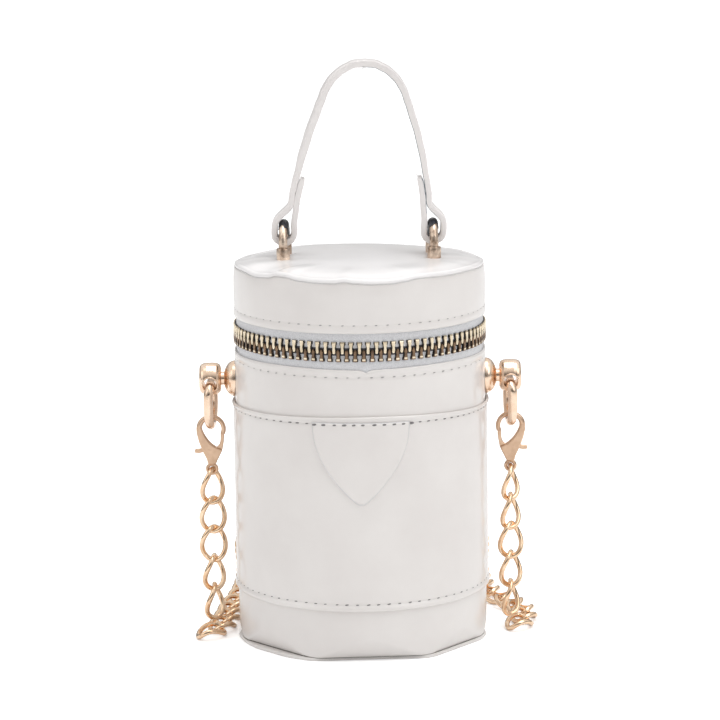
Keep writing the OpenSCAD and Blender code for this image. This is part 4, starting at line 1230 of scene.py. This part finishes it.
def make_world():
    """White to the camera; else grey by height, and dimmed towards the front."""
    world = bpy.data.worlds.new("studio")
    world.use_nodes = True
    tree = world.node_tree
    way = add_node(tree, "TexCoord").outputs["Generated"]
    split = add_node(tree, "SeparateXYZ", {"Vector": way}).outputs
    ramp = add_node(tree, "ValToRGB", {"Fac": split["Z"]})
    set_stops(ramp, [(place, (grey, grey, grey, 1)) for place, grey in GREYS])
    front = add_node(tree, "MapRange", {
        "From Min": -0.98, "From Max": -0.7, "To Min": 0.25, "Value": split["Y"]})
    dim = add_node(tree, "VectorMath", {
        "Vector": ramp.outputs["Color"], "Scale": front.outputs["Result"]}, operation="SCALE")
    seen = add_node(tree, "LightPath").outputs["Is Camera Ray"]
    mix = add_node(tree, "Mix", {
        "Factor": seen, "A": dim.outputs["Vector"], "B": (1, 1, 1, 1)}, data_type="RGBA")
    fill(tree.nodes["Background"], {"Color": mix.outputs["Result"]})
    bpy.context.scene.world = world


def make_lamp(name, place, size, power, aim=(0, 0, 0.1)):
    data = bpy.data.lights.new(name, "AREA")
    data.shape = "RECTANGLE"
    data.size, data.size_y = size
    data.energy = power
    lamp = put(name, data)
    lamp.location = place
    lamp.rotation_euler = (Vector(aim) - Vector(place)).to_track_quat("-Z", "Y").to_euler()


# The bag, then the studio
barrel_piece()
base_piece()
# Painted shadow along the seam between the barrel's wall and the base.
shade_ring("base_seam_shade", lambda a: wall_r(a, WALL_LOW) + 0.02, lambda a: BASE_TOP - 0.02, base_seam_shade_height,
           "root", SEAM_SHADE)
wrap_piece()
tab_piece()
lid_band_piece()
lid_top_piece()
# A thin ring of pale painted shade under the lid's rolled rim.
shade_ring("lid_rim_shade", lambda a: BARREL_R - 0.45 + ripple(a, 0, 0.12),
           lambda a: LID_EDGE - 1.36 + lid_wave(a), lid_rim_shade_height, "lid", PALE_SHADE)
strap_piece()
for side, sx in SIDES:
    staple_piece(side, sx)
sleeve_piece()
mouth_pieces()
for side, sx in SIDES:
    ring_piece(side, sx)
for side, sx in SIDES:
    claw_pieces(side, sx)
stitch_row("barrel_stitches", lambda a: BARREL_R - 0.02, lambda a: BARREL_STITCH, 4.4, -0.3, "root",
           LIGHT_SHADED_STITCH, 1.15, 0.36, 0.5)
stitch_row("wrap_low_stitches", lambda a: WRAP_R - 0.04, wrap_lower_stitch, 4.1, 2.4, "root", SHADED_STITCH,
           fade=0.4)
stitch_row("wrap_high_stitches", lambda a: WRAP_R - 0.04, wrap_upper_stitch, 3.7, 1.2, "root", SHADED_STITCH, 1.5,
           0.5, 0.5, over_tab)
stitch_row("tab_stitches", lambda a: WRAP_R + 1.22, wrap_upper_stitch, 3.7, 1.2, "root", SHADED_STITCH, 1.6, 0.75,
           skip=lambda a: not over_tab(a))
stitch_row("lid_stitches", lambda a: BARREL_R - 0.02, lambda a: LID_STITCH, 4.4, -2.7, "lid", LIGHT_SHADED_STITCH,
           1.1, 0.36, 0.5)
OPEN = [(ZIP_START + END_ANGLE, ZIP_END - END_ANGLE)]
ENDS = [(ZIP_START + 0.1, ZIP_START + END_ANGLE), (ZIP_END - END_ANGLE, ZIP_END - 0.1)]
tooth_row("teeth_low", -1, [(ZIP_START, ZIP_END)], "root", ["zip_teeth_lower"])
tooth_row("teeth_high", 1, OPEN, "lid", ["zip_teeth_upper"])
tape_piece("tape_low", -1, [(ZIP_START + 0.1, ZIP_END - 0.1)], "root", ["zip_tape_lower"])
tape_piece("tape_high", 1, [(low + 0.4, high - 0.4) for low, high in OPEN], "lid", ["zip_tape_upper"])
tape_piece("tape_ends", 1, ENDS, "root", ["zip_end_stretches"], -0.3)
tooth_row("teeth_ends", 1, ENDS, "root", [])
lining_piece()
lid_lining_piece()
hinge_piece()
hanging_chain("left", -1, [41, 24, 16, 48, 60])
hanging_chain("right", 1, [63, 55, 31, 42, 62])
floor_chain()
dress_kept()
make_floor()
make_world()
make_lamp("above", (0.25, -0.1, 2.0), (1.5, 1.5), 15)
make_lamp("key", (1.2, -1.0, 1.3), (1.2, 1.6), 6.5)
make_lamp("fill", (-1.5, -0.7, 0.9), (1.0, 1.5), 2.8)

bpy.context.scene.view_settings.view_transform = "Standard"
